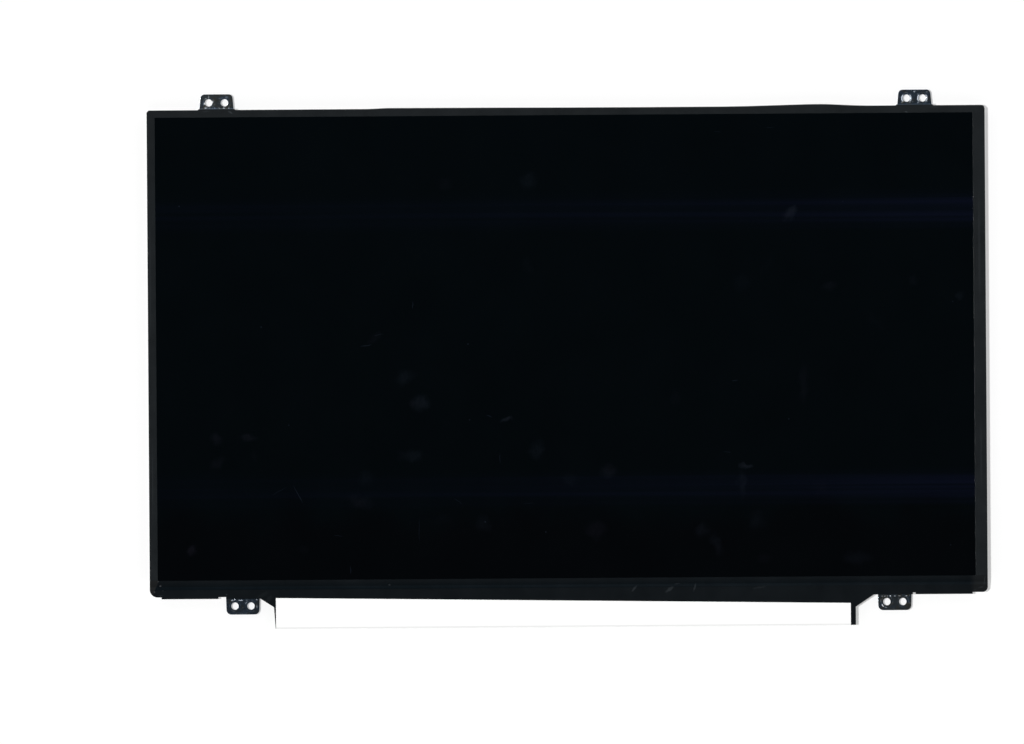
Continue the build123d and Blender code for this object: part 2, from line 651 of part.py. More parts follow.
# Driver chips on the glass ledge, and the tapered flexes that join the glass to the board
with BuildPart() as driver_chips:
    with BuildSketch(Plane.XY.offset(ARRAY_TOP)):
        with Locations((BOARD_X, FILTER_BOTTOM - DRIVER_GAP - DRIVER_WIDTH / 2)):
            with GridLocations(DRIVER_PITCH, 0, DRIVER_COUNT, 1):
                Rectangle(DRIVER_LENGTH, DRIVER_WIDTH)
    extrude(amount=DRIVER_HEIGHT)
save(driver_chips, "driver_chips")

FLEX_GLASS_EDGE = ARRAY_BOTTOM + FLEX_LAP
FLEX_BOARD_EDGE = BOARD_TOP_EDGE - FLEX_REACH
for label, place in (("left", -1), ("middle", 0), ("right", 1)):
    with BuildPart() as board_flex:
        with BuildSketch(Plane.XY.offset(ARRAY_TOP)):
            middle = BOARD_X + place * DRIVER_PITCH
            with BuildLine():
                Polyline(
                    (middle - FLEX_WIDTH / 2, FLEX_GLASS_EDGE),
                    (middle - FLEX_WIDTH / 2, ARRAY_BOTTOM),
                    (middle - FLEX_WIDTH / 2 + FLEX_TAPER, BOARD_TOP_EDGE),
                    (middle - FLEX_WIDTH / 2 + FLEX_TAPER, FLEX_BOARD_EDGE),
                    (middle + FLEX_WIDTH / 2 - FLEX_TAPER, FLEX_BOARD_EDGE),
                    (middle + FLEX_WIDTH / 2 - FLEX_TAPER, BOARD_TOP_EDGE),
                    (middle + FLEX_WIDTH / 2, ARRAY_BOTTOM),
                    (middle + FLEX_WIDTH / 2, FLEX_GLASS_EDGE),
                    close=True,
                )
            make_face()
        extrude(amount=FLEX_GAUGE)
    save(board_flex, f"board_flex_{label}")

# Control board
with BuildPart() as control_board:
    with BuildSketch(Plane.XY.offset(BOARD_BACK)) as board_outline:
        area(BOARD_LEFT, BOARD_RIGHT, BOARD_BOTTOM, BOARD_TOP_EDGE)
        fillet(board_outline.vertices(), BOARD_CORNER)
        with Locations((BOARD_X, BOARD_MIDDLE)):
            with GridLocations(BOARD_RIGHT - BOARD_LEFT - 2 * BOARD_HOLE_INSET, 0, 2, 1):
                Circle(BOARD_HOLE_RADIUS, mode=Mode.SUBTRACT)
    extrude(amount=BOARD_GAUGE)
save(control_board, "control_board")

# Video socket on the board's rear, with its mouth at the board's lower edge
SOCKET_ROOF_LEVEL = BOARD_BACK - SOCKET_HEIGHT
SOCKET_TOP_EDGE = BOARD_BOTTOM + SOCKET_DEPTH
with BuildPart() as video_socket_body:
    with BuildSketch(Plane.XY.offset(SOCKET_ROOF_LEVEL)):
        area(SOCKET_X - SOCKET_WIDTH / 2, SOCKET_X + SOCKET_WIDTH / 2, BOARD_BOTTOM, SOCKET_TOP_EDGE)
    extrude(amount=SOCKET_HEIGHT)
    with BuildSketch(Plane.XY.offset(SOCKET_ROOF_LEVEL + SOCKET_ROOF)):
        area(
            SOCKET_X - SOCKET_WIDTH / 2 + SOCKET_WALL,
            SOCKET_X + SOCKET_WIDTH / 2 - SOCKET_WALL,
            BOARD_BOTTOM,
            SOCKET_TOP_EDGE - SOCKET_BACK,
        )
    extrude(amount=SOCKET_HEIGHT - SOCKET_ROOF, mode=Mode.SUBTRACT)
    with BuildSketch(Plane.XY.offset(BOARD_BACK - CONTACT_GAUGE)):
        area(
            SOCKET_X - SOCKET_WIDTH / 2 + SOCKET_WALL,
            SOCKET_X + SOCKET_WIDTH / 2 - SOCKET_WALL,
            BOARD_BOTTOM,
            SOCKET_TOP_EDGE,
        )
    extrude(amount=CONTACT_GAUGE, mode=Mode.SUBTRACT)
save(video_socket_body, "video_socket_body")

with BuildPart() as video_socket_contacts:
    with BuildSketch(Plane.XY.offset(BOARD_BACK - CONTACT_GAUGE)):
        contact_length = SOCKET_DEPTH - CONTACT_INSET + CONTACT_TAIL
        with Locations((SOCKET_X, BOARD_BOTTOM + CONTACT_INSET + contact_length / 2)):
            with GridLocations(CONTACT_PITCH, 0, CONTACT_COUNT, 1):
                Rectangle(CONTACT_WIDTH, contact_length)
    extrude(amount=CONTACT_GAUGE)
save(video_socket_contacts, "video_socket_contacts")

with BuildPart() as video_socket_shell:
    with BuildSketch(Plane.XZ.offset(-SOCKET_TOP_EDGE)):
        shell_half = SOCKET_WIDTH / 2 + SHELL_GAUGE
        area(SOCKET_X - shell_half, SOCKET_X + shell_half, SOCKET_ROOF_LEVEL - SHELL_GAUGE, BOARD_BACK)
        area(SOCKET_X - SHELL_REACH, SOCKET_X + SHELL_REACH, BOARD_BACK - SHELL_GAUGE, BOARD_BACK)
        area(
            SOCKET_X - SOCKET_WIDTH / 2,
            SOCKET_X + SOCKET_WIDTH / 2,
            SOCKET_ROOF_LEVEL,
            BOARD_BACK,
            mode=Mode.SUBTRACT,
        )
    extrude(amount=SOCKET_DEPTH)
save(video_socket_shell, "video_socket_shell")

# Backlight socket on the board's rear, with its mouth towards the cover
with BuildPart() as light_socket:
    with BuildSketch(Plane.XY.offset(BOARD_BACK)):
        area(
            LIGHT_SOCKET_LEFT,
            LIGHT_SOCKET_RIGHT,
            LIGHT_SOCKET_MOUTH - LIGHT_SOCKET_DEPTH,
            LIGHT_SOCKET_MOUTH,
        )
    extrude(amount=-LIGHT_SOCKET_HEIGHT)
    with BuildSketch(Plane.XY.offset(TAIL_LEVEL - STACK_PLAY)):
        area(
            TAIL_X - TAIL_WIDTH / 2 - STACK_PLAY,
            TAIL_X + TAIL_WIDTH / 2 + STACK_PLAY,
            TAIL_END_EDGE - STACK_PLAY,
            LIGHT_SOCKET_MOUTH,
        )
    extrude(amount=LED_FLEX_GAUGE + 2 * STACK_PLAY, mode=Mode.SUBTRACT)
    with BuildSketch(Plane.XY.offset(BOARD_BACK - LIGHT_SOCKET_HEIGHT)):
        area(
            LIGHT_SOCKET_LEFT,
            LIGHT_SOCKET_RIGHT,
            LIGHT_SOCKET_MOUTH - LIGHT_SOCKET_DEPTH,
            LIGHT_SOCKET_MOUTH - LIGHT_SOCKET_DEPTH + LIGHT_FLAP_DEPTH,
        )
    extrude(amount=LIGHT_FLAP_DROP, mode=Mode.SUBTRACT)
save(light_socket, "light_socket")


def flat_chip(name, middle, size, height):
    """Seat a square moulded chip on the board's rear, with its outer edges eased."""
    with BuildPart() as chip:
        with BuildSketch(Plane.XY.offset(BOARD_BACK)):
            with Locations((middle, BOARD_MIDDLE)):
                Rectangle(size, size)
        extrude(amount=-height)
        chamfer(chip.faces().sort_by(Axis.Z)[0].edges(), CHIP_EDGE)
    save(chip, name)


flat_chip("timing_chip", BOARD_X + TIMING_CHIP_OFFSET, TIMING_CHIP_SIZE, TIMING_CHIP_HEIGHT)
flat_chip("power_chip", BOARD_X + POWER_CHIP_OFFSET, POWER_CHIP_SIZE, POWER_CHIP_HEIGHT)
flat_chip("backlight_chip", LIGHT_SOCKET_LEFT - LIGHT_CHIP_GAP, LIGHT_CHIP_SIZE, LIGHT_CHIP_HEIGHT)

# Memory chip with folded leads
with BuildPart() as memory_chip:
    with BuildSketch(Plane.XY.offset(BOARD_BACK - MEMORY_STANDOFF)):
        with Locations((BOARD_X + MEMORY_OFFSET, BOARD_MIDDLE)):
            Rectangle(MEMORY_LENGTH, MEMORY_WIDTH)
    extrude(amount=MEMORY_STANDOFF - MEMORY_HEIGHT)
    chamfer(memory_chip.faces().sort_by(Axis.Z)[0].edges(), CHIP_EDGE)
    with BuildSketch(Plane.XY.offset(BOARD_BACK)):
        with Locations((BOARD_X + MEMORY_OFFSET, BOARD_MIDDLE)):
            with GridLocations(LEAD_PITCH, MEMORY_WIDTH + LEAD_REACH, LEAD_COUNT, 2):
                Rectangle(LEAD_WIDTH, LEAD_REACH)
    extrude(amount=-LEAD_GAUGE)
save(memory_chip, "memory_chip")

# Coils with rounded corners and a dished core face
COIL_PLACES = (
    (BOARD_X + POWER_COIL_OFFSET, BOARD_MIDDLE),
    (LIGHT_SOCKET_LEFT - LIGHT_COIL_GAP, BOARD_MIDDLE),
)
with BuildPart() as boost_coils:
    with BuildSketch(Plane.XY.offset(BOARD_BACK)):
        with Locations(*COIL_PLACES):
            RectangleRounded(COIL_SIZE, COIL_SIZE, COIL_CORNER)
    extrude(amount=-COIL_HEIGHT)
    with BuildSketch(Plane.XY.offset(BOARD_BACK - COIL_HEIGHT)):
        with Locations(*COIL_PLACES):
            Circle(COIL_CORE_RADIUS)
    extrude(amount=COIL_CORE_DEPTH, mode=Mode.SUBTRACT)
save(boost_coils, "boost_coils")

DIODE_PLACES = (
    (BOARD_X + POWER_DIODE_OFFSET, BOARD_MIDDLE),
    (LIGHT_SOCKET_LEFT - LIGHT_DIODE_GAP, BOARD_MIDDLE),
)
with BuildPart() as power_diodes:
    with BuildSketch(Plane.XY.offset(BOARD_BACK)):
        with Locations(*DIODE_PLACES):
            Rectangle(DIODE_WIDTH, DIODE_LENGTH)
    extrude(amount=-DIODE_HEIGHT)
    chamfer(power_diodes.faces().group_by(Axis.Z)[0].edges(), CHIP_EDGE)
save(power_diodes, "power_diodes")

# Rows of small parts: the first part's place along the board, the row's lift from the middle and its count
VIDEO_ROW_START = SOCKET_X + SHELL_REACH + VIDEO_CAPACITOR_GAP
END_ROW_START = LIGHT_SOCKET_RIGHT + END_RESISTOR_GAP
CAPACITOR_ROWS = (
    (VIDEO_ROW_START, ROW_LIFT, VIDEO_CAPACITOR_COUNT),
    (VIDEO_ROW_START, -ROW_LIFT, VIDEO_CAPACITOR_COUNT),
    (BOARD_X + POWER_CAPACITOR_OFFSET, ROW_LIFT, POWER_CAPACITOR_COUNT),
    (BOARD_X + POWER_CAPACITOR_OFFSET, -ROW_LIFT, POWER_CAPACITOR_COUNT),
    (BOARD_X + COIL_CAPACITOR_OFFSET, 0, COIL_CAPACITOR_COUNT),
    (LIGHT_SOCKET_LEFT - LIGHT_CAPACITOR_INSET, -ROW_LIFT, LIGHT_CAPACITOR_COUNT),
)
RESISTOR_ROWS = (
    (BOARD_X + TIMING_RESISTOR_OFFSET, 0, TIMING_RESISTOR_COUNT),
    (BOARD_X + MEMORY_RESISTOR_OFFSET, -ROW_LIFT, MEMORY_RESISTOR_COUNT),
    (BOARD_X + COIL_RESISTOR_OFFSET, -ROW_LIFT, COIL_RESISTOR_COUNT),
    (LIGHT_SOCKET_LEFT - LIGHT_RESISTOR_GAP, -ROW_LIFT, LIGHT_RESISTOR_COUNT),
    (END_ROW_START, ROW_LIFT, END_RESISTOR_COUNT),
    (END_ROW_START + END_RESISTOR_SHIFT, -ROW_LIFT, END_RESISTOR_COUNT),
)


def small_parts(rows, pitch, along, across, height):
    """Build rows of like small parts on the board's rear as one group of solids."""
    with BuildPart() as group:
        for start, lift, count in rows:
            with BuildSketch(Plane.XY.offset(BOARD_BACK)):
                with Locations((start + (count - 1) * pitch / 2, BOARD_MIDDLE + lift)):
                    with GridLocations(pitch, 0, count, 1):
                        Rectangle(across, along)
            extrude(amount=-height)
    return group


capacitors = small_parts(
    CAPACITOR_ROWS, CAPACITOR_PITCH, CAPACITOR_LENGTH, CAPACITOR_WIDTH, CAPACITOR_HEIGHT
)
save(capacitors, "capacitors")
resistors = small_parts(RESISTOR_ROWS, RESISTOR_PITCH, RESISTOR_LENGTH, RESISTOR_WIDTH, RESISTOR_HEIGHT)
save(resistors, "resistors")

# Ground foils, folded from the board's rear down the cover's bottom wall
for label, offset_x in zip(("left", "right"), FOIL_OFFSETS):
    with BuildPart() as ground_foil:
        with BuildSketch(Plane.YZ.offset(BOARD_X + offset_x - FOIL_WIDTH / 2)):
            area(BOARD_TOP_EDGE - FOIL_LAP, WALL_BOTTOM, BOARD_BACK - FOIL_GAUGE, BOARD_BACK)
            area(WALL_BOTTOM - FOIL_GAUGE, WALL_BOTTOM, BOARD_BACK - FOIL_DROP, BOARD_BACK)
        extrude(amount=FOIL_WIDTH)
    save(ground_foil, f"ground_foil_{label}")


def top_tape_face(drop, mode=Mode.ADD):
    """Sketch the top tape, lowered by drop: flared over the risers and bulged where it has come loose."""
    edge = TOP - drop
    foot = OPENING_TOP - drop
    proud = edge + BRACKET_GAUGE
    riser = WIDE_RISER / 2
    flare = riser + BRACKET_GAUGE
    small_start = BULGE_SMALL_FROM_TAB - TAB_OFFSET_TOP
    large_end = TAB_OFFSET_TOP - BULGE_LARGE_FROM_TAB
    with BuildLine() as outline:
        Polyline(
            (large_end, edge),
            (TAB_OFFSET_TOP - flare, edge),
            (TAB_OFFSET_TOP - riser, proud),
            (TAB_OFFSET_TOP + riser, proud),
            (TAB_OFFSET_TOP + flare, edge),
            (RIGHT - TAPE_CORNER_RIGHT, edge),
            (RIGHT, edge - TAPE_CORNER_RIGHT),
            (RIGHT, foot),
            (LEFT, foot),
            (LEFT, edge - TAPE_CORNER_LEFT),
            (LEFT + TAPE_CORNER_LEFT, edge),
            (-TAB_OFFSET_TOP - flare, edge),
            (-TAB_OFFSET_TOP - riser, proud),
            (-TAB_OFFSET_TOP + riser, proud),
            (-TAB_OFFSET_TOP + flare, edge),
            (small_start, edge),
        )
        Spline(
            (small_start, edge),
            (small_start + BULGE_SMALL_RISE, edge + BULGE_SMALL),
            (BULGE_SMALL_END, edge),
            tangents=((1, 0), (1, 0), (1, 0)),
        )
        Line((BULGE_SMALL_END, edge), (BULGE_LARGE_START, edge))
        Spline(
            (BULGE_LARGE_START, edge),
            (large_end - BULGE_LARGE_FALL, edge + BULGE_LARGE),
            (large_end, edge),
            tangents=((1, 0), (1, 0), (1, 0)),
        )
    make_face(outline.edges(), mode=mode)


# Top tape: a front strip and a skirt down the wall, cut short over the brackets
with BuildPart() as top_tape:
    with BuildSketch(Plane.XY.offset(SCREEN_LEVEL)):
        top_tape_face(0)
    extrude(amount=TAPE_GAUGE)
    with BuildSketch(Plane.XY.offset(SKIRT_FOOT)):
        top_tape_face(0)
        top_tape_face(TAPE_GAUGE, mode=Mode.SUBTRACT)
    extrude(amount=SCREEN_LEVEL - SKIRT_FOOT)
    with BuildSketch(Plane.XY.offset(SKIRT_FOOT)):
        with Locations((0, TOP)):
            with GridLocations(2 * TAB_OFFSET_TOP, 0, 2, 1):
                Rectangle(WIDE_RISER + 4 * BRACKET_GAUGE, 4 * BRACKET_GAUGE)
    extrude(amount=SCREEN_LEVEL - RISER_SKIRT - SKIRT_FOOT, mode=Mode.SUBTRACT)
save(top_tape, "top_tape")

# Side tapes: a front strip each and a skirt down the wall
for label, outer, inner in (("left", LEFT, OPENING_LEFT), ("right", RIGHT, OPENING_RIGHT)):
    wall = WALL_WIDTH / 2 if outer > 0 else -WALL_WIDTH / 2
    with BuildPart() as side_tape:
        with BuildSketch(Plane.XZ.offset(-OPENING_TOP)):
            area(min(outer, inner), max(outer, inner), SCREEN_LEVEL, SCREEN_LEVEL + TAPE_GAUGE)
            area(min(outer, wall), max(outer, wall), SKIRT_FOOT, SCREEN_LEVEL)
        extrude(amount=OPENING_TOP - OPENING_BOTTOM)
    save(side_tape, f"{label}_tape")

# Bottom tape: lies on the cell's lower edge, steps down to the flexes and covers the board's front
GAP_LEFT_EDGE = -TAB_OFFSET_BOTTOM - TAB_ROOT_BOTTOM / 2
GAP_RIGHT_EDGE = TAB_OFFSET_BOTTOM + TAB_ROOT_BOTTOM / 2 + GAP_RIGHT / 2
HANG = BOTTOM - OVERHANG
with BuildPart() as bottom_tape:
    with BuildSketch(Plane.YZ):
        with BuildLine():
            Polyline(
                (OPENING_BOTTOM, SCREEN_LEVEL),
                (STEP_TOP_EDGE, SCREEN_LEVEL),
                (STEP_BOTTOM_EDGE, FLEX_TOP),
                (BOARD_BOTTOM, FLEX_TOP),
                (BOARD_BOTTOM, FLAP_TOP),
                (STEP_BOTTOM_EDGE, FLAP_TOP),
                (STEP_TOP_EDGE, SCREEN_LEVEL + TAPE_GAUGE),
                (OPENING_BOTTOM, SCREEN_LEVEL + TAPE_GAUGE),
                close=True,
            )
        make_face()
    extrude(amount=OUTLINE_WIDTH, both=True)
    with BuildSketch() as flap_outline:
        with BuildLine():
            Polyline(
                (LEFT, OPENING_BOTTOM),
                (LEFT, BOTTOM),
                (LEFT + NOTCH_LEFT, BOTTOM),
                (LEFT + NOTCH_LEFT, HANG),
                (GAP_LEFT_EDGE - GAP_LEFT, HANG),
                (GAP_LEFT_EDGE - GAP_LEFT, BOTTOM),
                (GAP_LEFT_EDGE, BOTTOM),
                (GAP_LEFT_EDGE, HANG),
                (FLAP_LEFT_EDGE - SHOULDER_LEFT_RUN, HANG),
                (FLAP_LEFT_EDGE, HANG - SHOULDER_LEFT_DROP),
                (FLAP_LEFT_EDGE + FLAP_TAPER, BOARD_BOTTOM),
                (FLAP_RIGHT_EDGE, BOARD_BOTTOM),
                (FLAP_RIGHT_EDGE, HANG - SHOULDER_RIGHT_DROP),
                (FLAP_RIGHT_EDGE + SHOULDER_RIGHT_RUN, HANG),
                (GAP_RIGHT_EDGE, HANG),
                (GAP_RIGHT_EDGE, BOTTOM),
                (GAP_RIGHT_EDGE + GAP_RIGHT, BOTTOM),
                (GAP_RIGHT_EDGE + GAP_RIGHT, HANG),
                (RIGHT - NOTCH_RIGHT, HANG),
                (RIGHT - NOTCH_RIGHT, BOTTOM),
                (RIGHT, BOTTOM),
                (RIGHT, OPENING_BOTTOM),
                close=True,
            )
        make_face()
        for end, radius in ((0, FRAME_CORNER_BOTTOM_LEFT), (-1, FRAME_CORNER_BOTTOM_RIGHT)):
            lower_corners = flap_outline.vertices().filter_by_position(Axis.Y, BOTTOM, BOTTOM).sort_by(Axis.X)
            fillet(lower_corners[end], radius + FRAME_INSET)
    extrude(amount=SCREEN_LEVEL + TAPE_GAUGE, mode=Mode.INTERSECT)
    with BuildSketch(Plane.XY.offset(FLEX_TOP - OVERHANG_DROP)):
        area(LEFT + NOTCH_LEFT, GAP_LEFT_EDGE - GAP_LEFT, HANG, HANG + TAPE_GAUGE)
        area(GAP_RIGHT_EDGE + GAP_RIGHT, RIGHT - NOTCH_RIGHT, HANG, HANG + TAPE_GAUGE)
    extrude(amount=OVERHANG_DROP)
save(bottom_tape, "bottom_tape")

# White film: over the flap, round the board's lower edge and a short way up its rear
FILM_LEFT_EDGE = FLAP_LEFT_EDGE + FILM_LEFT
FILM_RIGHT_EDGE = FLAP_RIGHT_EDGE - FILM_RIGHT
FOLD_EDGE = BOARD_BOTTOM - FILM_GAUGE
with BuildPart() as board_film:
    with BuildSketch(Plane.YZ.offset(FILM_LEFT_EDGE)):
        area(FOLD_EDGE, BOTTOM, BOARD_BACK - FILM_GAUGE, FLAP_TOP + FILM_GAUGE)
        area(BOARD_BOTTOM, BOTTOM, BOARD_BACK, FLAP_TOP, mode=Mode.SUBTRACT)
        area(BOARD_BOTTOM + FILM_LIP, BOTTOM, BOARD_BACK - FILM_GAUGE, BOARD_BACK, mode=Mode.SUBTRACT)
    extrude(amount=FILM_RIGHT_EDGE - FILM_LEFT_EDGE)
    with BuildSketch():
        with BuildLine():
            Polyline(
                (FILM_LEFT_EDGE, BOTTOM - FILM_TOP_LEFT),
                (FILM_RIGHT_EDGE, BOTTOM - FILM_TOP_RIGHT),
                (FILM_RIGHT_EDGE, FOLD_EDGE),
                (FILM_LEFT_EDGE, FOLD_EDGE),
                close=True,
            )
        make_face()
    extrude(amount=FLAP_TOP + FILM_GAUGE, mode=Mode.INTERSECT)
    with BuildSketch(Plane.XY.offset(BOARD_BACK - FILM_GAUGE)):
        cut = SHELL_REACH + FILM_CUT_PLAY
        area(SOCKET_X - cut, SOCKET_X + cut, FOLD_EDGE, BOARD_BOTTOM + FILM_LIP)
    extrude(amount=FILM_GAUGE, mode=Mode.SUBTRACT)
save(board_film, "board_film")
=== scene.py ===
"""Dress a slim laptop screen panel: smudged screen, tapes, worn tabs, control board and stage.

Every object is in metres, in the frame of the packed model. Patterns are laid out in millimetres.
"""

import json
import math

import bpy
from bpy.props import FloatProperty, FloatVectorProperty, PointerProperty
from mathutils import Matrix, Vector


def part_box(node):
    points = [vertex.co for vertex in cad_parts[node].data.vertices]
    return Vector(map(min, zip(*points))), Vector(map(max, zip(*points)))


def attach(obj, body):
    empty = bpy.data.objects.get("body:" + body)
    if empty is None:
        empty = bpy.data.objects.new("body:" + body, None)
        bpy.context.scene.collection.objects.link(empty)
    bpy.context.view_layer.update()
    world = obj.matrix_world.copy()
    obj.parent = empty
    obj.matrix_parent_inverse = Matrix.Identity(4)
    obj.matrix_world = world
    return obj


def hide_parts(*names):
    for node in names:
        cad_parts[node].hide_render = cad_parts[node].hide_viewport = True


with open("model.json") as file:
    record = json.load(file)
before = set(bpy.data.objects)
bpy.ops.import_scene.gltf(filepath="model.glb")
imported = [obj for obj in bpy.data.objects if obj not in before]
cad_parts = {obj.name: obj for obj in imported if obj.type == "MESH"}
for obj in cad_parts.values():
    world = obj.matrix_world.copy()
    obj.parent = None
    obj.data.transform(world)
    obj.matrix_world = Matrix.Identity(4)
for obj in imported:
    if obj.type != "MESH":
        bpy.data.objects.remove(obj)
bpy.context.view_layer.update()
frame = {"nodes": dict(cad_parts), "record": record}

bl_info = {
    "name": "Laptop Screen Panel",
    "version": (1, 0, 0),
    "blender": (4, 5, 0),
    "location": "View3D > Sidebar > Screen Panel",
    "description": "Dresses a slim laptop screen panel with its finishes, small parts and stage",
    "category": "Object",
}

MM = 0.001
BODY = "root"
MERGE_DISTANCE = 0.000001
SMOOTH_ANGLE = math.radians(35)
FLAT_ANGLE = math.radians(0.5)
FLOOR_DROP = 0.02 * MM
MOUNTS = {mount["name"]: mount for mount in frame["record"]["mounts"]}
MARKED_CHIPS = ("timing_chip", "power_chip", "backlight_chip")

# Bottom tape, in millimetres: slope of its left lap, and where the laps over the side tapes start
LAP_SLOPE = 0.42
LAP_LEFT = -120.1
LAP_RIGHT = 153.0

# Height in millimetres over which the edge tapes turn from the side to the front, and over which the painted
# shade on their sides fades out
EDGE_FOLD = (3.1, 3.24)

# Copper lines, in millimetres: half their pitch on board and flexes, and the bends' half spacing and shift
TRACE_HALF = 0.2
FLEX_HALF = 0.15
BEND_HALF = 11.0
BEND_SHIFT = {"Min": 4.0, "Max": 5.6}

# Board, in millimetres: depth of its bonding pads, and the printed lines' clearance and thickness
BONDING_DEPTH = 2.5
PRINT_CLEAR = 0.35
PRINT_LINE = 0.12

# Chips, in millimetres: the first-pin dots, and half of the memory chip's row of leads and of its body
FIRST_PIN_INSET = 0.9
FIRST_PIN_WIDTH = 0.7
LEAD_ROW_HALF = 3.0
MEMORY_BODY_HALF = 1.96

# Metal ends of the small parts: their bevel, and the share of run and of height in each step of solder
END_BEVEL = 0.05 * MM
SOLDER_STEPS = ((0.4, 0.45), (0.6, 0.3))

# Heights in the sky, 1 being overhead, between which the soft light grows to its full strength
SKY_RING = (0.86, 0.5)

# Marks on the screen, in millimetres: middle x and y, length, width, turn in degrees and strength
SCREEN_SMUDGES = (
    (-14.2, 65.2, 10, 9, 0, 0.33),
    (-46, 64, 8, 7, 0, 0.15),
    (85.6, 52.2, 7.5, 5.5, 25, 0.81),
    (-15.5, 33.5, 6, 9, 20, 0.11),
    (67.2, 25.9, 8, 9, 0, 0.14),
    (100.4, 24.2, 8, 4.5, 20, 0.26),
    (118, 11, 12, 5, -40, 0.06),
    (132.8, 26.2, 6, 5, 30, 0.18),
    (150.5, 20.5, 6, 5, 20, 0.33),
    (76.5, 33, 14, 5, 55, 0.06),
    (-73.8, 5.1, 9, 5, 35, 0.22),
    (-62, -9.6, 11, 7, 10, 0.41),
    (-56.4, -19.6, 10, 9, 15, 0.62),
    (-134.2, -32.8, 7, 6, 0, 0.42),
    (-134, -42, 7, 7, 0, 0.27),
    (-122.3, -32.3, 9, 4, 0, 0.46),
    (-120, -39, 4, 8, 0, 0.1),
    (-60.1, -39.5, 12, 6, 0, 0.38),
    (-23.5, -26.1, 7.5, 2.6, 8, 1),
    (-11.7, -37.9, 8, 9, 0, 0.35),
    (15.1, -46.1, 9, 7, 0, 0.42),
    (0.5, -49, 9, 6, 0, 0.19),
    (41, -18, 5, 9, 0, 0.11),
    (-77.2, -48.1, 9, 8, 0, 0.2),
    (-79.6, -56.9, 14, 8, -20, 0.31),
    (-144.2, -75.3, 6, 5, 40, 0.55),
    (-101, -75, 5, 5, 0, 0.1),
    (-47.5, -63.5, 9, 6, 0, 0.08),
    (-32.4, -65.7, 8, 9, 0, 0.25),
    (10.7, -68.3, 10, 10, 0, 0.27),
    (51.3, -68.6, 8, 7, 40, 0.33),
    (56.5, -74, 6, 12, 20, 0.33),
    (71.9, -65.4, 10, 10, 0, 0.22),
    (110.5, -79.7, 14, 8, 0, 0.28),
    (75, -80, 8, 5, 0, 0.13),
    (67.7, -44.2, 6.5, 2.6, -3, 0.92),
    (66.5, -51, 5, 15, 0, 0.37),
    (90.4, -12.9, 5, 21, 0, 0.2),
    (96.5, -52.5, 8, 7, 0, 0.09),
)

# Fine scratches, rub lines and specks on the screen, given in the same way
SCREEN_SCRATCHES = (
    (-103.3, -54, 9.5, 0.35, -62, 1),
    (-110.5, -52.8, 8, 0.35, 28, 0.5),
    (-77, 2.6, 5.5, 0.4, 8, 1),
    (-72, 6.8, 5, 0.35, 14, 0.6),
    (-30, -24.6, 3.5, 0.35, -20, 0.8),
    (-26, -40.8, 0.4, 5, 0, 0.55),
    (-59, 18, 0.4, 3.5, 0, 0.9),
    (-57, -68, 0.35, 11, 0, 0.55),
    (-83.4, -83, 0.4, 4, 0, 0.9),
    (-88, -70, 4.5, 0.3, -8, 0.6),
    (64, -11.6, 3, 0.35, 4, 0.8),
    (61, -39, 4, 0.35, -10, 0.6),
    (78, 85, 4, 0.3, 0, 0.45),
    (58, 83.5, 4, 0.3, 0, 0.45),
    (-42, -57, 5, 0.3, -40, 0.55),
    (-15, -58, 5, 0.3, 0, 0.4),
    (84.5, -26.4, 0.7, 0.7, 0, 1.3),
    (-8.6, -69, 0.7, 0.7, 0, 1.3),
    (-38, 3, 0.7, 0.7, 0, 1.2),
    (-31.8, -65, 0.7, 0.7, 0, 1.3),
    (-148, 56.4, 0.7, 0.7, 0, 1.3),
    (-117, 10, 0.7, 0.7, 0, 1.1),
    (-37.5, -26, 0.7, 0.7, 0, 1),
    (-106.5, -27.5, 0.6, 0.6, 0, 0.9),
    (147.5, 18, 0.7, 0.7, 0, 0.8),
    (146, -75, 0.6, 0.6, 0, 0.8),
)

# Painted bluish sheen on the film, a painted reflection, in millimetres: the height of each band on the
# screen, its reach and its strength
PAINTED_SHEEN_BANDS = (
    (53.4, 8.6, 0.95),
    (-52.6, 8.2, 0.97),
)

# Scuffs on the foot tape, and rubbed places and painted glints on the edge tapes, given as the smudges are
FOOT_SCUFFS = (
    (25, -91, 4, 1, 50, 0.9),
    (38.5, -91.3, 5, 1.6, 35, 0.9),
    (41.5, -89.2, 2.5, 0.7, 10, 0.6),
    (48.2, -90.6, 4, 0.9, 75, 0.9),
    (73, -90.8, 7, 0.9, 8, 0.35),
    (-68.5, -88.9, 1.2, 0.9, 0, 0.9),
    (-114.6, -94, 4.6, 2.4, 60, 0.22),
    (-117, -92.4, 7, 2, 25, 0.18),
    (-131, -92, 1, 0.7, 0, 0.8),
    (159, -88.5, 0.5, 5, -8, 0.9),
    (157.6, -91.4, 3.5, 0.5, 12, 0.8),
    (155.3, -92.3, 2, 0.5, 5, 0.6),
    (-158.6, -86, 0.8, 1.6, 10, 0.8),
    (-156.2, -92.4, 3, 0.5, 0, 0.6),
)
EDGE_RUBS_AND_GLINTS = (
    (-128.2, 92.2, 2.6, 0.8, -30, 0.9),
    (-137.4, 92.6, 4, 0.5, 4, 0.5),
    (130.2, 90.6, 1.6, 0.6, -25, 1.2),
    (141, 92.4, 5, 0.5, -4, 0.5),
    (60, 92.8, 30, 0.35, 0, 0.35),
    (-20, 92.7, 50, 0.3, 0, 0.3),
    (157.8, 40, 1.2, 60, 0, 0.25),
    (158, -40, 1, 40, 0, 0.25),
    (-159.2, 30, 0.6, 70, 0, 0.25),
    (-158.8, -50, 0.6, 40, 0, 0.25),
)
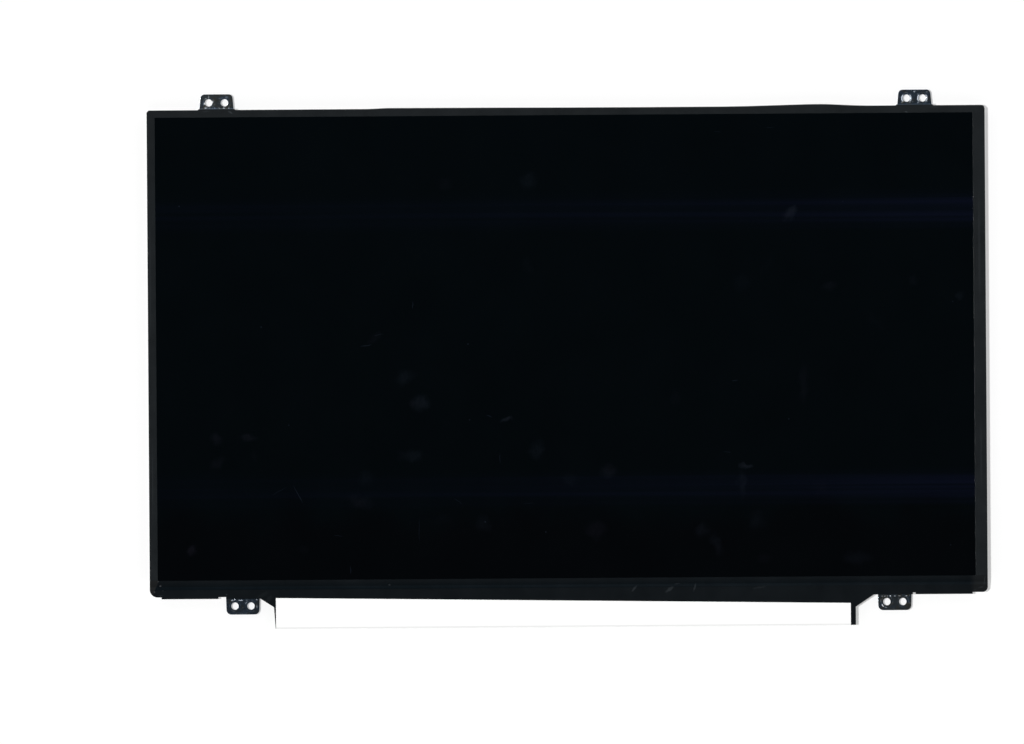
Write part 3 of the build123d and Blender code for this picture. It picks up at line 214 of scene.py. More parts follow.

# Painted glints and rubbed places on each tab, from its middle and the line of its holes, given in the same
# way
TAB_GLINTS_AND_WEAR = {
    "tab_top_left": (
        (-4.2, -2, 1.6, 0.8, 0, 1),
        (-2.7, -2, 0.7, 0.5, 0, 0.8),
        (-1.6, -2.1, 0.7, 0.4, 0, 0.8),
        (-0.7, -2, 0.6, 0.5, 0, 0.9),
        (1.05, -2, 0.9, 0.5, 0, 0.8),
        (2.9, -2, 1.1, 0.6, 0, 1.2),
        (4.6, -2, 0.8, 0.5, 0, 0.8),
        (-3, 2.2, 0.5, 1.8, 0, 0.7),
        (-4.1, 1.5, 1.2, 1, 0, 0.45),
        (3.9, 2.1, 1.6, 1, 20, 0.35),
        (-1.5, 0.3, 0.6, 1.6, 0, 1.2),
        (-4.6, -0.3, 0.6, 1.4, 10, 1.2),
        (-1.9, -0.9, 0.8, 0.5, 40, 0.9),
        (1.6, -0.4, 0.4, 1, 0, 0.7),
    ),
    "tab_top_right": (
        (0, 2.5, 1.2, 0.8, 0, 0.8),
        (4.7, 2.3, 0.9, 0.7, 0, 0.45),
        (4.9, -1.1, 0.6, 0.8, 0, 0.4),
        (1.3, 1.5, 0.6, 0.6, 0, 0.5),
        (1.4, -1.7, 0.8, 0.6, 0, 0.8),
        (-4.8, -1.6, 0.7, 0.6, 0, 0.7),
        (-1.7, -1.6, 0.7, 0.5, 0, 0.7),
        (-0.6, -1.4, 0.6, 0.5, 0, 0.6),
    ),
    "tab_bottom_left": (
        (-4, 2.2, 1.4, 0.7, 0, 0.9),
        (-3.1, 2.6, 0.6, 1, 0, 1.2),
        (-0.9, 2.2, 2.4, 0.5, 0, 1),
        (1.4, 2.2, 1, 0.4, 0, 0.5),
        (5.3, 2.4, 0.7, 0.6, 0, 0.8),
        (1.2, 1.2, 0.4, 1.6, -35, 0.7),
        (5.3, -0.2, 0.4, 2, 0, 0.6),
        (0, -2.75, 9, 0.25, 0, 0.35),
    ),
    "tab_bottom_right": (
        (-4.8, 2.15, 0.8, 0.5, 0, 0.8),
        (-3.8, 2.15, 0.7, 0.5, 0, 0.8),
        (-2.8, 2.15, 0.7, 0.4, 0, 0.7),
        (-1.7, 2.15, 0.8, 0.6, 0, 1.2),
        (0, 2.15, 1.2, 0.5, 0, 0.8),
        (1.8, 2.15, 1.3, 0.5, 0, 0.8),
        (4.4, 2.15, 1.2, 0.5, 0, 0.8),
        (-4.6, -1.5, 1.8, 0.45, -45, 1.2),
        (-3.4, -2.2, 1.4, 0.35, -10, 0.7),
        (-5.4, 0.4, 0.6, 1.8, 0, 0.4),
    ),
}

# Flecks of torn paper pressed into the lower left seam of the tapes, given in the same way
PAPER_FLECKS = (
    (-156.1, -88.7, 0.9, 0.6, 20, 0.16),
    (-157, -86.9, 0.8, 0.6, 70, 0.12),
    (-158.4, -91, 0.9, 0.6, 120, 0.08),
    (-155.2, -90.6, 0.6, 0.5, 40, 0.06),
)


def setting(**kind):
    """Make a function that declares one kind of number that a user can change."""
    return lambda name, what, value: FloatProperty(name=name, description=what, default=value, **kind)


length = setting(unit="LENGTH", min=0, precision=6)
share = setting(subtype="FACTOR", min=0, max=1)
angle = setting(subtype="ANGLE")
strength = setting(min=0)


def colour(name, what, value):
    kind = {"subtype": "COLOR", "size": 3, "min": 0, "max": 1, "precision": 4}
    return FloatVectorProperty(name=name, description=f"Colour of {what}", default=value, **kind)


class ScreenLook(bpy.types.PropertyGroup):
    """Colours and marks of the screen's front film."""

    film: colour("Film", "the dark screen film", (0.0004, 0.0014, 0.0021))
    low_film: colour("Low film", "the film along the foot of the screen", (0.0005, 0.0010, 0.0016))
    haze: colour("Haze", "the light that a full smudge adds", (0.0029, 0.0036, 0.0058))
    warm_haze: colour("Warm haze", "the light that a purplish smudge adds", (0.0037, 0.0031, 0.0054))
    # A painted reflection: the colour of the bluish sheen bands
    sheen: colour("Sheen", "the light that the bluish streaks add", (0.0011, 0.0011, 0.0046))
    roughness: share("Roughness", "Roughness of the anti-glare coating", 0.13)
    reflection: share("Reflection", "Specular level of the anti-glare coating", 0.1)


class TapeLook(bpy.types.PropertyGroup):
    """Colours and grain of the black tapes and the white film."""

    edge: colour("Edge tape", "the top and side tapes", (0.0040, 0.0062, 0.0078))
    foot: colour("Foot tape", "the blacker bottom tape", (0.0020, 0.0037, 0.0052))
    lap: colour("Tape lap", "the bottom tape over the side tapes' ends", (0.0100, 0.0110, 0.0115))
    # Also the colour of the painted glints on the edge tapes
    rub: colour("Rubbed tape", "the light that a rubbed place adds", (0.0260, 0.0300, 0.0330))
    paper: colour("Paper flecks", "torn paper in the tapes' seam", (0.40, 0.42, 0.43))
    film: colour("White film", "the white board film", (0.945, 0.948, 0.945))
    roughness: share("Roughness", "Roughness of the tapes", 0.24)
    reflection: share("Reflection", "Specular level of the tapes", 0.2)
    film_reflection: share("Film reflection", "Specular level of the white film", 0.3)
    easing: length("Easing", "Radius of the tapes' cut edges and folds", 0.000025)


class MetalLook(bpy.types.PropertyGroup):
    """Colours and wear of the tabs, the cover, the shell and the foils, and the tabs' painted glints."""

    plating: colour("Plating", "the tabs' dark plating", (0.28, 0.35, 0.41))
    blue: colour("Blue tint", "the plating's bluish tint", (0.205, 0.30, 0.43))
    brown: colour("Brown tint", "the plating's brownish tint", (0.33, 0.34, 0.31))
    # Also the colour of the painted glints on the tabs
    wear_and_glints: colour("Worn plating", "the metal where the plating is rubbed off", (0.80, 0.84, 0.90))
    cover: colour("Cover", "the rolled back cover", (0.72, 0.73, 0.74))
    shell: colour("Shell", "the bright plated shell", (0.74, 0.74, 0.73))
    gold: colour("Gold", "plated contacts", (0.83, 0.62, 0.27))
    solder: colour("Solder", "solder and part ends", (0.72, 0.72, 0.71))
    foil: colour("Foil", "the ground foils", (0.78, 0.77, 0.74))
    easing: length("Easing", "Radius of the tabs' sheared edges", 0.00007)
    ring: length("Screw ring", "Radius of the ring that a screw head rubs", 0.00215)


class InsideLook(bpy.types.PropertyGroup):
    """Colours of the frame, the backlight and the cell."""

    frame: colour("Frame", "the moulded frame", (0.88, 0.88, 0.86))
    sheet: colour("Sheet", "the light guide and its films", (0.86, 0.90, 0.91))
    dots: colour("Dots", "the light guide's dots", (0.97, 0.98, 0.98))
    lamp: colour("Lamp", "the lamps' mould", (0.90, 0.87, 0.78))
    window: colour("Lamp window", "the lamps' windows", (0.86, 0.66, 0.12))
    glass: colour("Glass", "the cell's glasses", (0.70, 0.78, 0.77))
    pixels: colour("Pixels", "the glasses' fine lines", (0.80, 0.86, 0.85))
    polarizer: colour("Rear film", "the rear polarizer", (0.010, 0.010, 0.012))
    silicon: colour("Silicon", "the driver chips' darker grain", (0.040, 0.042, 0.055))
    ground: colour("Ground silicon", "the driver chips' lighter grain", (0.085, 0.088, 0.105))


class BoardLook(bpy.types.PropertyGroup):
    """Colours of the control board and what sits on it."""

    mask: colour("Solder mask", "the board's green mask", (0.012, 0.085, 0.038))
    trace: colour("Traces", "masked copper lines", (0.030, 0.160, 0.070))
    copper: colour("Copper", "bare copper lines", (0.62, 0.30, 0.14))
    amber: colour("Amber film", "the flexes' base film", (0.42, 0.19, 0.035))
    mould: colour("Mould", "moulded chips", (0.022, 0.022, 0.024))
    ceramic: colour("Ceramic", "the capacitors", (0.36, 0.24, 0.13))
    glaze: colour("Glaze", "the resistors' glaze", (0.018, 0.018, 0.020))
    socket: colour("Socket", "the moulded sockets", (0.68, 0.62, 0.50))
    chalk: colour("Chalk", "the resistors' ceramic sides", (0.75, 0.75, 0.73))
    ferrite: colour("Ferrite", "the coils' darker grain", (0.030, 0.028, 0.026))
    pressed: colour("Pressed ferrite", "the coils' lighter grain", (0.075, 0.070, 0.066))
    ink: colour("Ink", "the outlines printed on the board", (0.78, 0.78, 0.74))
    # Painted shade: the dark of the drilled holes
    drill_hole_shade: colour("Drill", "the drilled holes", (0.01, 0.01, 0.01))
    end_length: length("Part end", "Length of a small part's metal end", 0.00032)
    end_proud: length("End proud", "How far a metal end stands out from its part", 0.00002)
    solder: length("Solder", "How far the solder runs out from a metal end", 0.00024)
    coil_easing: length("Coil easing", "Radius of the coils' pressed edges", 0.00008)
    socket_easing: length("Socket easing", "Radius of the sockets' moulded edges", 0.00004)
    shell_easing: length("Shell easing", "Radius of the shell's folded edges", 0.00003)


class StageLook(bpy.types.PropertyGroup):
    """Camera, lamps and floor."""

    width: length("View width", "Width of the straight-down view", 0.39148)
    shift: FloatVectorProperty(
        name="Camera", description="Camera's place", default=(-0.02114, -0.0078, 0.6), unit="LENGTH"
    )
    turn: angle("Turn", "Turn of the camera over the panel", math.radians(-0.394))
    lamp: strength("Lamp", "Strength of the lamp from the left", 2.74)
    slant: angle("Slant", "Lamp's angle from straight above", math.radians(21))
    spread: angle("Spread", "Lamp's width in the sky", math.radians(6))
    sky: strength("Sky", "Strength of the soft light near the horizon", 0.52)
    zenith: strength("Zenith", "Strength of the soft light overhead", 0.02)
    floor: colour("Floor", "the floor", (0.97, 0.97, 0.97))
    glow: share("Floor glow", "Share of plain white that the camera sees in the floor", 0.41)
    floor_size: length("Floor size", "Length of the floor's side", 6.0)


def forward(operation):
    """Make a method that adds a Math node on a signal and another value."""
    return lambda signal, other: signal.math(operation, signal, other)


def backward(operation):
    """Make the reflected method, with the other value first."""
    return lambda signal, other: signal.math(operation, other, signal)


class Signal:
    """An output socket of a node tree, with arithmetic that adds Math nodes."""

    def __init__(self, tree, socket):
        self.tree = tree
        self.socket = socket

    def math(self, operation, first, second=0.0):
        return self.tree.node("ShaderNodeMath", {"operation": operation}, {0: first, 1: second})

    __add__ = forward("ADD")
    __radd__ = backward("ADD")
    __sub__ = forward("SUBTRACT")
    __rsub__ = backward("SUBTRACT")
    __mul__ = forward("MULTIPLY")
    __rmul__ = backward("MULTIPLY")
    __truediv__ = forward("DIVIDE")
    __pow__ = forward("POWER")
    __gt__ = forward("GREATER_THAN")
    __lt__ = forward("LESS_THAN")
    __or__ = forward("MAXIMUM")
    __and__ = forward("MINIMUM")

    def __abs__(self):
        return self.math("ABSOLUTE", self)


class NodeTree:
    """A shader tree that grows by one method."""

    def __init__(self, tree):
        self.tree = tree
        self.tree.nodes.clear()

    def node(self, kind, settings=None, sockets=None, output=0):
        """Add a node: its settings first, then the value or link of each socket."""
        made = self.tree.nodes.new(kind)
        for key, value in (settings or {}).items():
            setattr(made, key, value)
        self.fill(made, sockets or {})
        return Signal(self, made.outputs[output]) if made.outputs else None

    def fill(self, node, values):
        """Set or link a node's sockets."""
        for key, value in values.items():
            socket = node.inputs[key]
            if isinstance(value, Signal):
                self.tree.links.new(value.socket, socket)
            elif socket.type == "RGBA":
                socket.default_value = (*value[:3], 1.0)
            else:
                socket.default_value = value

    def fade(self, value, start, end):
        """Run smoothly from 0 at start to 1 at end."""
        return self.node(
            "ShaderNodeMapRange",
            {"interpolation_type": "SMOOTHSTEP"},
            {"Value": value, "From Min": start, "From Max": end},
        )


class Finish(NodeTree):
    """A procedural material in the panel's own frame, with positions in millimetres."""

    def __init__(self, name):
        self.name = name
        self.material = bpy.data.materials.new(name)
        self.material.use_nodes = True
        super().__init__(self.material.node_tree)
        self.surface = self.tree.nodes.new("ShaderNodeBsdfPrincipled")
        output = self.tree.nodes.new("ShaderNodeOutputMaterial")
        self.tree.links.new(self.surface.outputs["BSDF"], output.inputs["Surface"])
        place = self.node("ShaderNodeTexCoord", output="Object")
        self.place = self.shade(place, 1 / MM)
        self.x, self.y, self.z = (self.part(self.place, axis) for axis in "XYZ")

    def part(self, vector, axis):
        """Take one axis of a vector."""
        return self.node("ShaderNodeSeparateXYZ", None, {0: vector}, output=axis)

    def paint(self, base, roughness, metallic=0.0, specular=0.5, more=None):
        """Set or link the surface's colour, roughness, metalness, reflection and any more of its sockets."""
        values = {"Base Color": base, "Roughness": roughness, "Metallic": metallic}
        self.fill(self.surface, {**values, "Specular IOR Level": specular, **(more or {})})

    def grained(self, base, grain, tone, rough, metallic=0.0):
        """Vary colour and roughness with one grain: the start and the gain of each."""
        self.paint(self.shade(base, tone[0] + tone[1] * grain), rough[0] + rough[1] * grain, metallic)

    def combine(self, operation, first, second):
        """Join two vectors or colours by Vector Math."""
        return self.node("ShaderNodeVectorMath", {"operation": operation}, {0: first, 1: second})

    def stretched(self, stretch, vector=None):
        """Scale a place along each axis."""
        return self.combine("MULTIPLY", vector or self.place, stretch)

    def noise(self, scale, detail=2.0, stretch=(1, 1, 1), output="Fac", vector=None):
        """Cloudy noise with so many features to a millimetre."""
        sockets = {"Vector": self.stretched(stretch, vector), "Scale": scale, "Detail": detail}
        return self.node("ShaderNodeTexNoise", None, sockets, output)

    def cells(
        self, scale, randomness=1.0, output="Distance", stretch=(1, 1, 1), feature="F1", metric="EUCLIDEAN"
    ):
        """Cells with so many to a millimetre: their distance or colour."""
        sockets = {"Vector": self.stretched(stretch), "Scale": scale, "Randomness": randomness}
        return self.node("ShaderNodeTexVoronoi", {"feature": feature, "distance": metric}, sockets, output)

    def zigzag(self, value, half):
        """Run from 0 up to half and back again, over and over."""
        return value.math("PINGPONG", value, half)

    def outline(self, low, high, clear, line):
        """A thin line drawn round a box, so many millimetres clear of it."""
        middle = (low + high) / 2 / MM
        half = (high - low) / 2 / MM
        reach = (abs(self.x - middle.x) - half.x) | (abs(self.y - middle.y) - half.y)
        return self.fade(abs(reach - clear), line, 0.6 * line)

    def mix(self, factor, first, second):
        """Mix two colours."""
        return self.node("ShaderNodeMix", {"data_type": "RGBA"}, {0: factor, 6: first, 7: second}, output=2)

    def shade(self, base, amount):
        """Scale a colour or vector by an amount."""
        return self.node("ShaderNodeVectorMath", {"operation": "SCALE"}, {0: base, "Scale": amount})

    def light(self, base, extra, amount):
        """Add so much of an extra colour or vector to a base."""
        return self.combine("ADD", base, self.shade(extra, amount))

    def bump(self, height, distance):
        """Raise the surface by height times a distance in millimetres."""
        sockets = {"Strength": 1.0, "Distance": distance * MM, "Height": height}
        self.fill(self.surface, {"Normal": self.node("ShaderNodeBump", None, sockets)})

    def warped(self, scale, reach):
        """Shift places by cloudy noise, up to about half the reach in millimetres."""
        cloud = self.noise(scale, 3.0, output="Color")
        centred = self.combine("SUBTRACT", cloud, (0.5, 0.5, 0.5))
        return self.light(self.place, centred, reach)

    def marks(self, rows, vector, soft):
        """Add up oval marks with soft edges: middle, length, width, turn and strength of each."""
        total = 0.0
        for x, y, along, across, turn, strength in rows:
            local = self.node(
                "ShaderNodeMapping",
                {"vector_type": "TEXTURE"},
                {
                    "Vector": vector,
                    "Location": (x, y, 0),
                    "Rotation": (0, 0, math.radians(turn)),
                    "Scale": (along / 2, across / 2, 1000),
                },
            )
            reach = self.node("ShaderNodeVectorMath", {"operation": "LENGTH"}, {0: local}, output="Value")
            total = self.fade(reach, 1.0, 1.0 - soft) * strength + total
        return total


def add_object(name, data):
    """Put new data into the scene as an object."""
    made = bpy.data.objects.new(name, data)
    bpy.context.scene.collection.objects.link(made)
    return made


def select_only(*pieces):
    """Select these objects alone and make the first one active."""
    bpy.ops.object.select_all(action="DESELECT")
    for piece in pieces:
        piece.select_set(True)
    bpy.context.view_layer.objects.active = pieces[0]


def dress(finish, *nodes):
    """Give solids of the packed model their finish."""
    for node in nodes:
        materials = frame["nodes"][node].data.materials
        materials.clear()
        materials.append(finish.material)


def add_piece(piece, finish, slot, *nodes):
    """Give a new piece its finish and its body, and hide the solids it stands for."""
    piece.data.materials.clear()
    piece.data.materials.append(finish.material)
    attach(piece, BODY)
    if nodes:
        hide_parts(*nodes)


def merged_copy(node, name):
    """Copy a solid, merge its triangles' corners and leave it selected in edit mode."""
    piece = add_object(name, frame["nodes"][node].data.copy())
    select_only(piece)
    bpy.ops.mesh.customdata_custom_splitnormals_clear()
    bpy.ops.object.mode_set(mode="EDIT")
    bpy.ops.mesh.select_all(action="SELECT")
    bpy.ops.mesh.remove_doubles(threshold=MERGE_DISTANCE)
    return piece


def eased_copy(node, name, easing):
    """Copy a solid, make its flat faces whole and round its sharp edges."""
    piece = merged_copy(node, name)
    bpy.ops.mesh.dissolve_limited(angle_limit=FLAT_ANGLE)
    bpy.ops.object.mode_set(mode="OBJECT")
    bevel = piece.modifiers.new("easing", "BEVEL")
    bevel.width = easing
    bevel.segments = 2
    bevel.limit_method = "ANGLE"
    bevel.angle_limit = SMOOTH_ANGLE
    bpy.ops.object.modifier_apply(modifier=bevel.name)
    bpy.ops.object.shade_smooth_by_angle(angle=SMOOTH_ANGLE)
    flat = piece.modifiers.new("flat_faces", "WEIGHTED_NORMAL")
    flat.keep_sharp = True
    bpy.ops.object.modifier_apply(modifier=flat.name)
    return piece


def fit_eased(node, name, easing, finish):
    """Put an eased copy in a solid's place, with the given finish."""
    add_piece(eased_copy(node, name, easing), finish, finish.name, node)


def select_faces(piece, wanted):
    """In edit mode, select the faces of a piece that a test on the face picks out."""
    bpy.ops.mesh.select_mode(type="FACE")
    bpy.ops.mesh.select_all(action="DESELECT")
    bpy.ops.object.mode_set(mode="OBJECT")
    for face in piece.data.polygons:
        face.select = wanted(face)
    bpy.ops.object.mode_set(mode="EDIT")


def solid_boxes(node):
    """Find the lowest and highest corner of each separate solid in a node."""
    merged_copy(node, "solids")
    bpy.ops.mesh.separate(type="LOOSE")
    bpy.ops.object.mode_set(mode="OBJECT")
    found = []
    for solid in list(bpy.context.selected_objects):
        corners = [Vector(corner) for corner in solid.bound_box]
        found.append((Vector(map(min, *corners)), Vector(map(max, *corners))))
        bpy.data.objects.remove(solid)
    return found


def copies_of(pattern, places):
    """Copy a modelled object to each place and turn, join the copies and settle them in the panel's frame."""
    made = []
    for place, turn in places:
        copy = add_object(pattern.name, pattern.data.copy())
        copy.location = place
        copy.rotation_euler = (0, 0, turn)
        made.append(copy)
    bpy.data.objects.remove(pattern)
    select_only(*made)
    bpy.ops.object.join()
    joined = bpy.context.view_layer.objects.active
    bpy.ops.object.transform_apply(location=True, rotation=True, scale=True)
    return joined


class Step:
    """What the operators share: build with the scene's settings, then say that it is done."""

    def execute(self, context):
        self.build(context.scene)
        return {"FINISHED"}


class SCREENPANEL_OT_screen(Step, bpy.types.Operator):
    """Finish the dark screen film with its smudges, scratches, dust and a painted bluish sheen"""

    bl_idname = "screen_panel.screen"
    bl_label = "Screen"

    def build(self, scene):
        look = scene.screen_look
        finish = Finish("screen_film")
        print_lines = finish.noise(0.9, 4.0, (1, 0.45, 1))
        cloud = finish.noise(0.045, 3.0)
        haze = finish.marks(SCREEN_SMUDGES, finish.warped(0.22, 5.0), 0.85) * (0.25 + 1.5 * print_lines)
        scratches = finish.marks(SCREEN_SCRATCHES, finish.warped(0.5, 0.8), 0.6)
        dusty = finish.part(finish.cells(0.075, output="Color"), "X") > 0.72
        dust = finish.fade(finish.cells(0.075), 0.016, 0.008) * dusty
        grain = finish.noise(5.0)
        # The film is painted a little lighter towards the top, and darker and more neutral along its foot
        tone = 0.80 + 0.3 * cloud + 0.1 * grain + 0.1 * finish.fade(finish.y, -60, 80)
        # Painted bluish sheen: bands of painted reflection across the film, growing stronger towards the
        # right and broken into fine lines
        rising = 0.28 + 0.32 * finish.fade(finish.x, -90, 60) + 0.55 * finish.fade(finish.x, 60, 158)
        streaks = 0.0
        for height, reach, strength in PAINTED_SHEEN_BANDS:
            streaks = finish.fade(abs(finish.y - height), reach, 1.0) * strength + streaks
        lines = finish.fade(finish.noise(0.42, 2.0, (0.006, 1, 1)), 0.36, 0.66)
        low = finish.fade(finish.y + 24.0 * (cloud - 0.5), -56, -70)
        warm = finish.fade(finish.noise(0.03), 0.46, 0.58)
        tint = finish.mix(warm, look.haze, look.warm_haze)
        body = finish.shade(finish.mix(low, look.film, look.low_film), tone)
        body = finish.light(body, look.sheen, streaks * rising * (0.45 + 0.9 * lines))
        body = finish.light(body, tint, haze)
        body = finish.light(body, look.haze, 1.6 * scratches + 2.5 * dust)
        finish.paint(body, look.roughness + 0.04 * (haze & 1.0) + 0.02 * cloud, specular=look.reflection)
        finish.bump(grain, 0.0002)
        dress(finish, "front_polarizer")


class SCREENPANEL_OT_edge_tapes(Step, bpy.types.Operator):
    """Round the folds of the top and side tapes and finish them in satin black, with painted shade on their
    sides and painted glints near the tabs
    """

    bl_idname = "screen_panel.edge_tapes"
    bl_label = "Edge Tapes"

    def build(self, scene):
        look = scene.tape_look
        finish = Finish("edge_tape")
        mottle = finish.noise(0.16, 3.0)
        grain = finish.noise(7.0)
        creases = finish.noise(0.35, 3.0, (1, 1, 0.2))
        # Rubbed places and painted glints on the edge tapes
        rubs_and_glints = finish.marks(EDGE_RUBS_AND_GLINTS, finish.warped(0.8, 0.6), 0.8) * (0.3 + 1.2 * finish.noise(3.0))
        # The tapes' sides, below the fold, are painted darker as shade
        fold = finish.fade(finish.z, *EDGE_FOLD)
        tone = (0.68 + 0.45 * mottle + 0.18 * grain) * (0.55 + 0.45 * fold)
        body = finish.light(finish.shade(look.edge, tone), look.rub, rubs_and_glints)
        finish.paint(
            body,
            look.roughness + 0.05 * (mottle - 0.5) + 0.03 * (grain - 0.5),
            specular=look.reflection,
        )
        finish.bump(grain + 3.0 * creases, 0.001)
        for node in ("top_tape", "left_tape", "right_tape"):
            fit_eased(node, f"{node}_folded", look.easing, finish)


class SCREENPANEL_OT_foot_tapes(Step, bpy.types.Operator):
    """Round the folds of the bottom tape and finish it and the two inner tapes in blacker satin"""

    bl_idname = "screen_panel.foot_tapes"
    bl_label = "Foot Tapes"

    def build(self, scene):
        look = scene.tape_look
        finish = Finish("foot_tape")
        mottle = finish.noise(0.12, 3.0)
        grain = finish.noise(7.0)
        creases = finish.noise(0.3, 3.0, (1, 0.3, 1))
        scuffs = finish.marks(FOOT_SCUFFS, finish.warped(0.9, 0.8), 0.7)
        scuffs = scuffs * (0.1 + 0.8 * finish.noise(2.4, 3.0))
        tone = 0.66 + 0.5 * mottle + 0.18 * grain
        lap_left = finish.fade(finish.x - LAP_SLOPE * finish.y, LAP_LEFT, LAP_LEFT - 0.4)
        lap_right = finish.fade(finish.x, LAP_RIGHT, LAP_RIGHT + 3.0) * 0.6
        flecks = finish.marks(PAPER_FLECKS, finish.warped(1.5, 0.8), 0.4) & 1.0
        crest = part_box("bottom_tape")[1].z / MM
        # Painted light: the tape's slope over the step is painted half as light again as its flat
        risen = finish.fade(finish.z, crest - 0.51, crest - 0.4)
        step = risen * finish.fade(finish.z, crest - 0.02, crest - 0.12)
        body = finish.mix(lap_left | lap_right, look.foot, look.lap)
        body = finish.light(finish.shade(body, tone * (1 + 0.5 * step)), look.rub, scuffs)
        body = finish.mix(flecks * (0.3 + 0.7 * grain), body, look.paper)
        finish.paint(
            body,
            look.roughness - 0.05 + 0.04 * (mottle - 0.5) + 0.03 * (grain - 0.5),
            specular=look.reflection,
        )
        finish.bump(grain + 3.0 * creases, 0.001)
        fit_eased("bottom_tape", "bottom_tape_folded", look.easing, finish)
        dress(finish, "lamp_shade_tape", "cell_bond_tape")


class SCREENPANEL_OT_white_sheets(Step, bpy.types.Operator):
    """Round the fold of the white board film and finish it and the reflector sheet, with a painted shade line
    along the film's fold
    """

    bl_idname = "screen_panel.white_sheets"
    bl_label = "White Sheets"

    def build(self, scene):
        look = scene.tape_look
        finish = Finish("white_film")
        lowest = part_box("board_film")[0].y / MM
        # A painted shade line along the fold at the film's lower edge
        fold = finish.fade(abs(finish.y - lowest - 0.35), 0.35, 0.05)
        dents = finish.noise(0.08, 2.0, (1, 0.35, 1))
        grain = finish.noise(4.0)
        body = finish.shade(look.film, 0.985 + 0.02 * dents - 0.2 * fold)
        finish.paint(body, 0.5 + 0.12 * dents + 0.05 * grain, specular=look.film_reflection)
        finish.bump(grain + 6.0 * dents, 0.003)
        fit_eased("board_film", "board_film_folded", look.easing, finish)
        dress(finish, "reflector_sheet")


class SCREENPANEL_OT_tabs(Step, bpy.types.Operator):
    """Ease the sheared edges of the four screw tabs and finish them as dark, rubbed plating with painted
    glints
    """

    bl_idname = "screen_panel.tabs"
    bl_label = "Screw Tabs"

    def build(self, scene):
        look = scene.metal_look
        finish = Finish("bracket_steel")
        top, bottom = MOUNTS["tab_top_right"], MOUNTS["tab_bottom_right"]
        upper = finish.y > 0.0
        middle = upper * (top["pos_m"][0] / MM) + (1 - upper) * (bottom["pos_m"][0] / MM)
        row = upper * (top["pos_m"][1] / MM) + (1 - upper) * (bottom["pos_m"][1] / MM)
        aside = abs(abs(abs(finish.x) - middle) - top["dims"]["spacing_x_mm"] / 2)
        ahead = finish.y - row
        reach = (aside * aside + ahead * ahead) ** 0.5
        hole = top["dims"]["hole_r_mm"]
        ring = look.ring / MM
        patches = finish.noise(0.45, 3.0)
        clouds = finish.noise(0.3, 3.0, vector=finish.warped(0.3, 8.0))
        broken = finish.fade(finish.noise(0.8, 3.0), 0.44, 0.60)
        rub = finish.fade(abs(reach - ring), 0.30, 0.06) * broken
        rim = finish.fade(reach, hole + 0.28, hole + 0.04) * finish.fade(finish.noise(1.1), 0.40, 0.62)
        # Painted glints beside the holes of the top right tab
        beside = finish.fade(aside / reach, 0.5, 0.85) * upper * (finish.x > 0.0)
        glint_crescents = finish.fade(abs(reach - hole - 0.36), 0.32, 0.14) * beside
        strokes = finish.fade(finish.noise(1.8, 3.0, (0.3, 1, 1), vector=finish.warped(0.2, 3.0)), 0.60, 0.72)
        rows = []
        for name, wear in TAB_GLINTS_AND_WEAR.items():
            across, along, _ = MOUNTS[name]["pos_m"]
            rows += [(across / MM + x, along / MM + y, *rest) for x, y, *rest in wear]
        # Painted glints along the tabs' folds and beside their holes, with some rubbed places
        glints = finish.marks(rows, finish.warped(2.5, 0.5), 0.6) * (0.45 + 0.9 * finish.noise(3.5))
        # Screw rings, rims and strokes are wear; the glints and crescents are painted highlights
        wear_and_glints = (rub * 0.10) | (rim * 0.18) | (strokes * 0.14) | (glints * 0.6) | (glint_crescents * 0.6)
        cool = finish.x * finish.y > 0.0
        body = finish.mix(finish.fade(patches + 0.14 * cool, 0.48, 0.64), look.plating, look.blue)
        body = finish.mix(finish.fade(clouds - 0.10 * cool, 0.46, 0.62), body, look.brown)
        # The top tabs are painted a little lighter than the bottom ones, and the top left tab lighter still
        body = finish.shade(body, 0.74 + 0.06 * upper + 0.26 * upper * (finish.x < 0.0))
        body = finish.mix(wear_and_glints & 1.0, body, look.wear_and_glints)
        finish.paint(body, 0.105 + 0.06 * patches + 0.24 * (wear_and_glints & 1.0), 1.0)
        finish.bump(0.4 * finish.noise(1.4, 3.0) - rub - 0.6 * strokes, 0.006)
        for place in ("top_left", "top_right", "bottom_left", "bottom_right"):
            fit_eased(f"bracket_{place}", f"screw_tab_{place}", look.easing, finish)


class SCREENPANEL_OT_cover(Step, bpy.types.Operator):
    """Finish the back cover as rolled sheet and the frame as pale moulding"""

    bl_idname = "screen_panel.cover"
    bl_label = "Cover and Frame"

    def build(self, scene):
        look = scene.metal_look
        inside = scene.inside_look
        metal = Finish("cover_metal")
        rolled = metal.noise(2.2, 3.0, (0.02, 1, 1))
        stains = metal.noise(0.03, 3.0)
        scuffs = metal.fade(metal.noise(0.5, 4.0, (1, 0.15, 1), vector=metal.warped(0.05, 12.0)), 0.66, 0.76)
        metal.paint(
            metal.shade(look.cover, 0.86 + 0.14 * rolled + 0.08 * stains - 0.06 * scuffs),
            0.30 + 0.12 * rolled + 0.10 * stains + 0.12 * scuffs,
            1.0,
        )
        metal.bump(rolled - 0.6 * scuffs, 0.004)
        dress(metal, "back_cover")
        plastic = Finish("frame_plastic")
        skin = plastic.noise(3.0)
        flow = plastic.noise(0.05)
        plastic.paint(plastic.shade(inside.frame, 0.92 + 0.06 * flow + 0.04 * skin), 0.48 + 0.1 * skin)
        plastic.bump(skin, 0.006)
        dress(plastic, "moulded_frame")


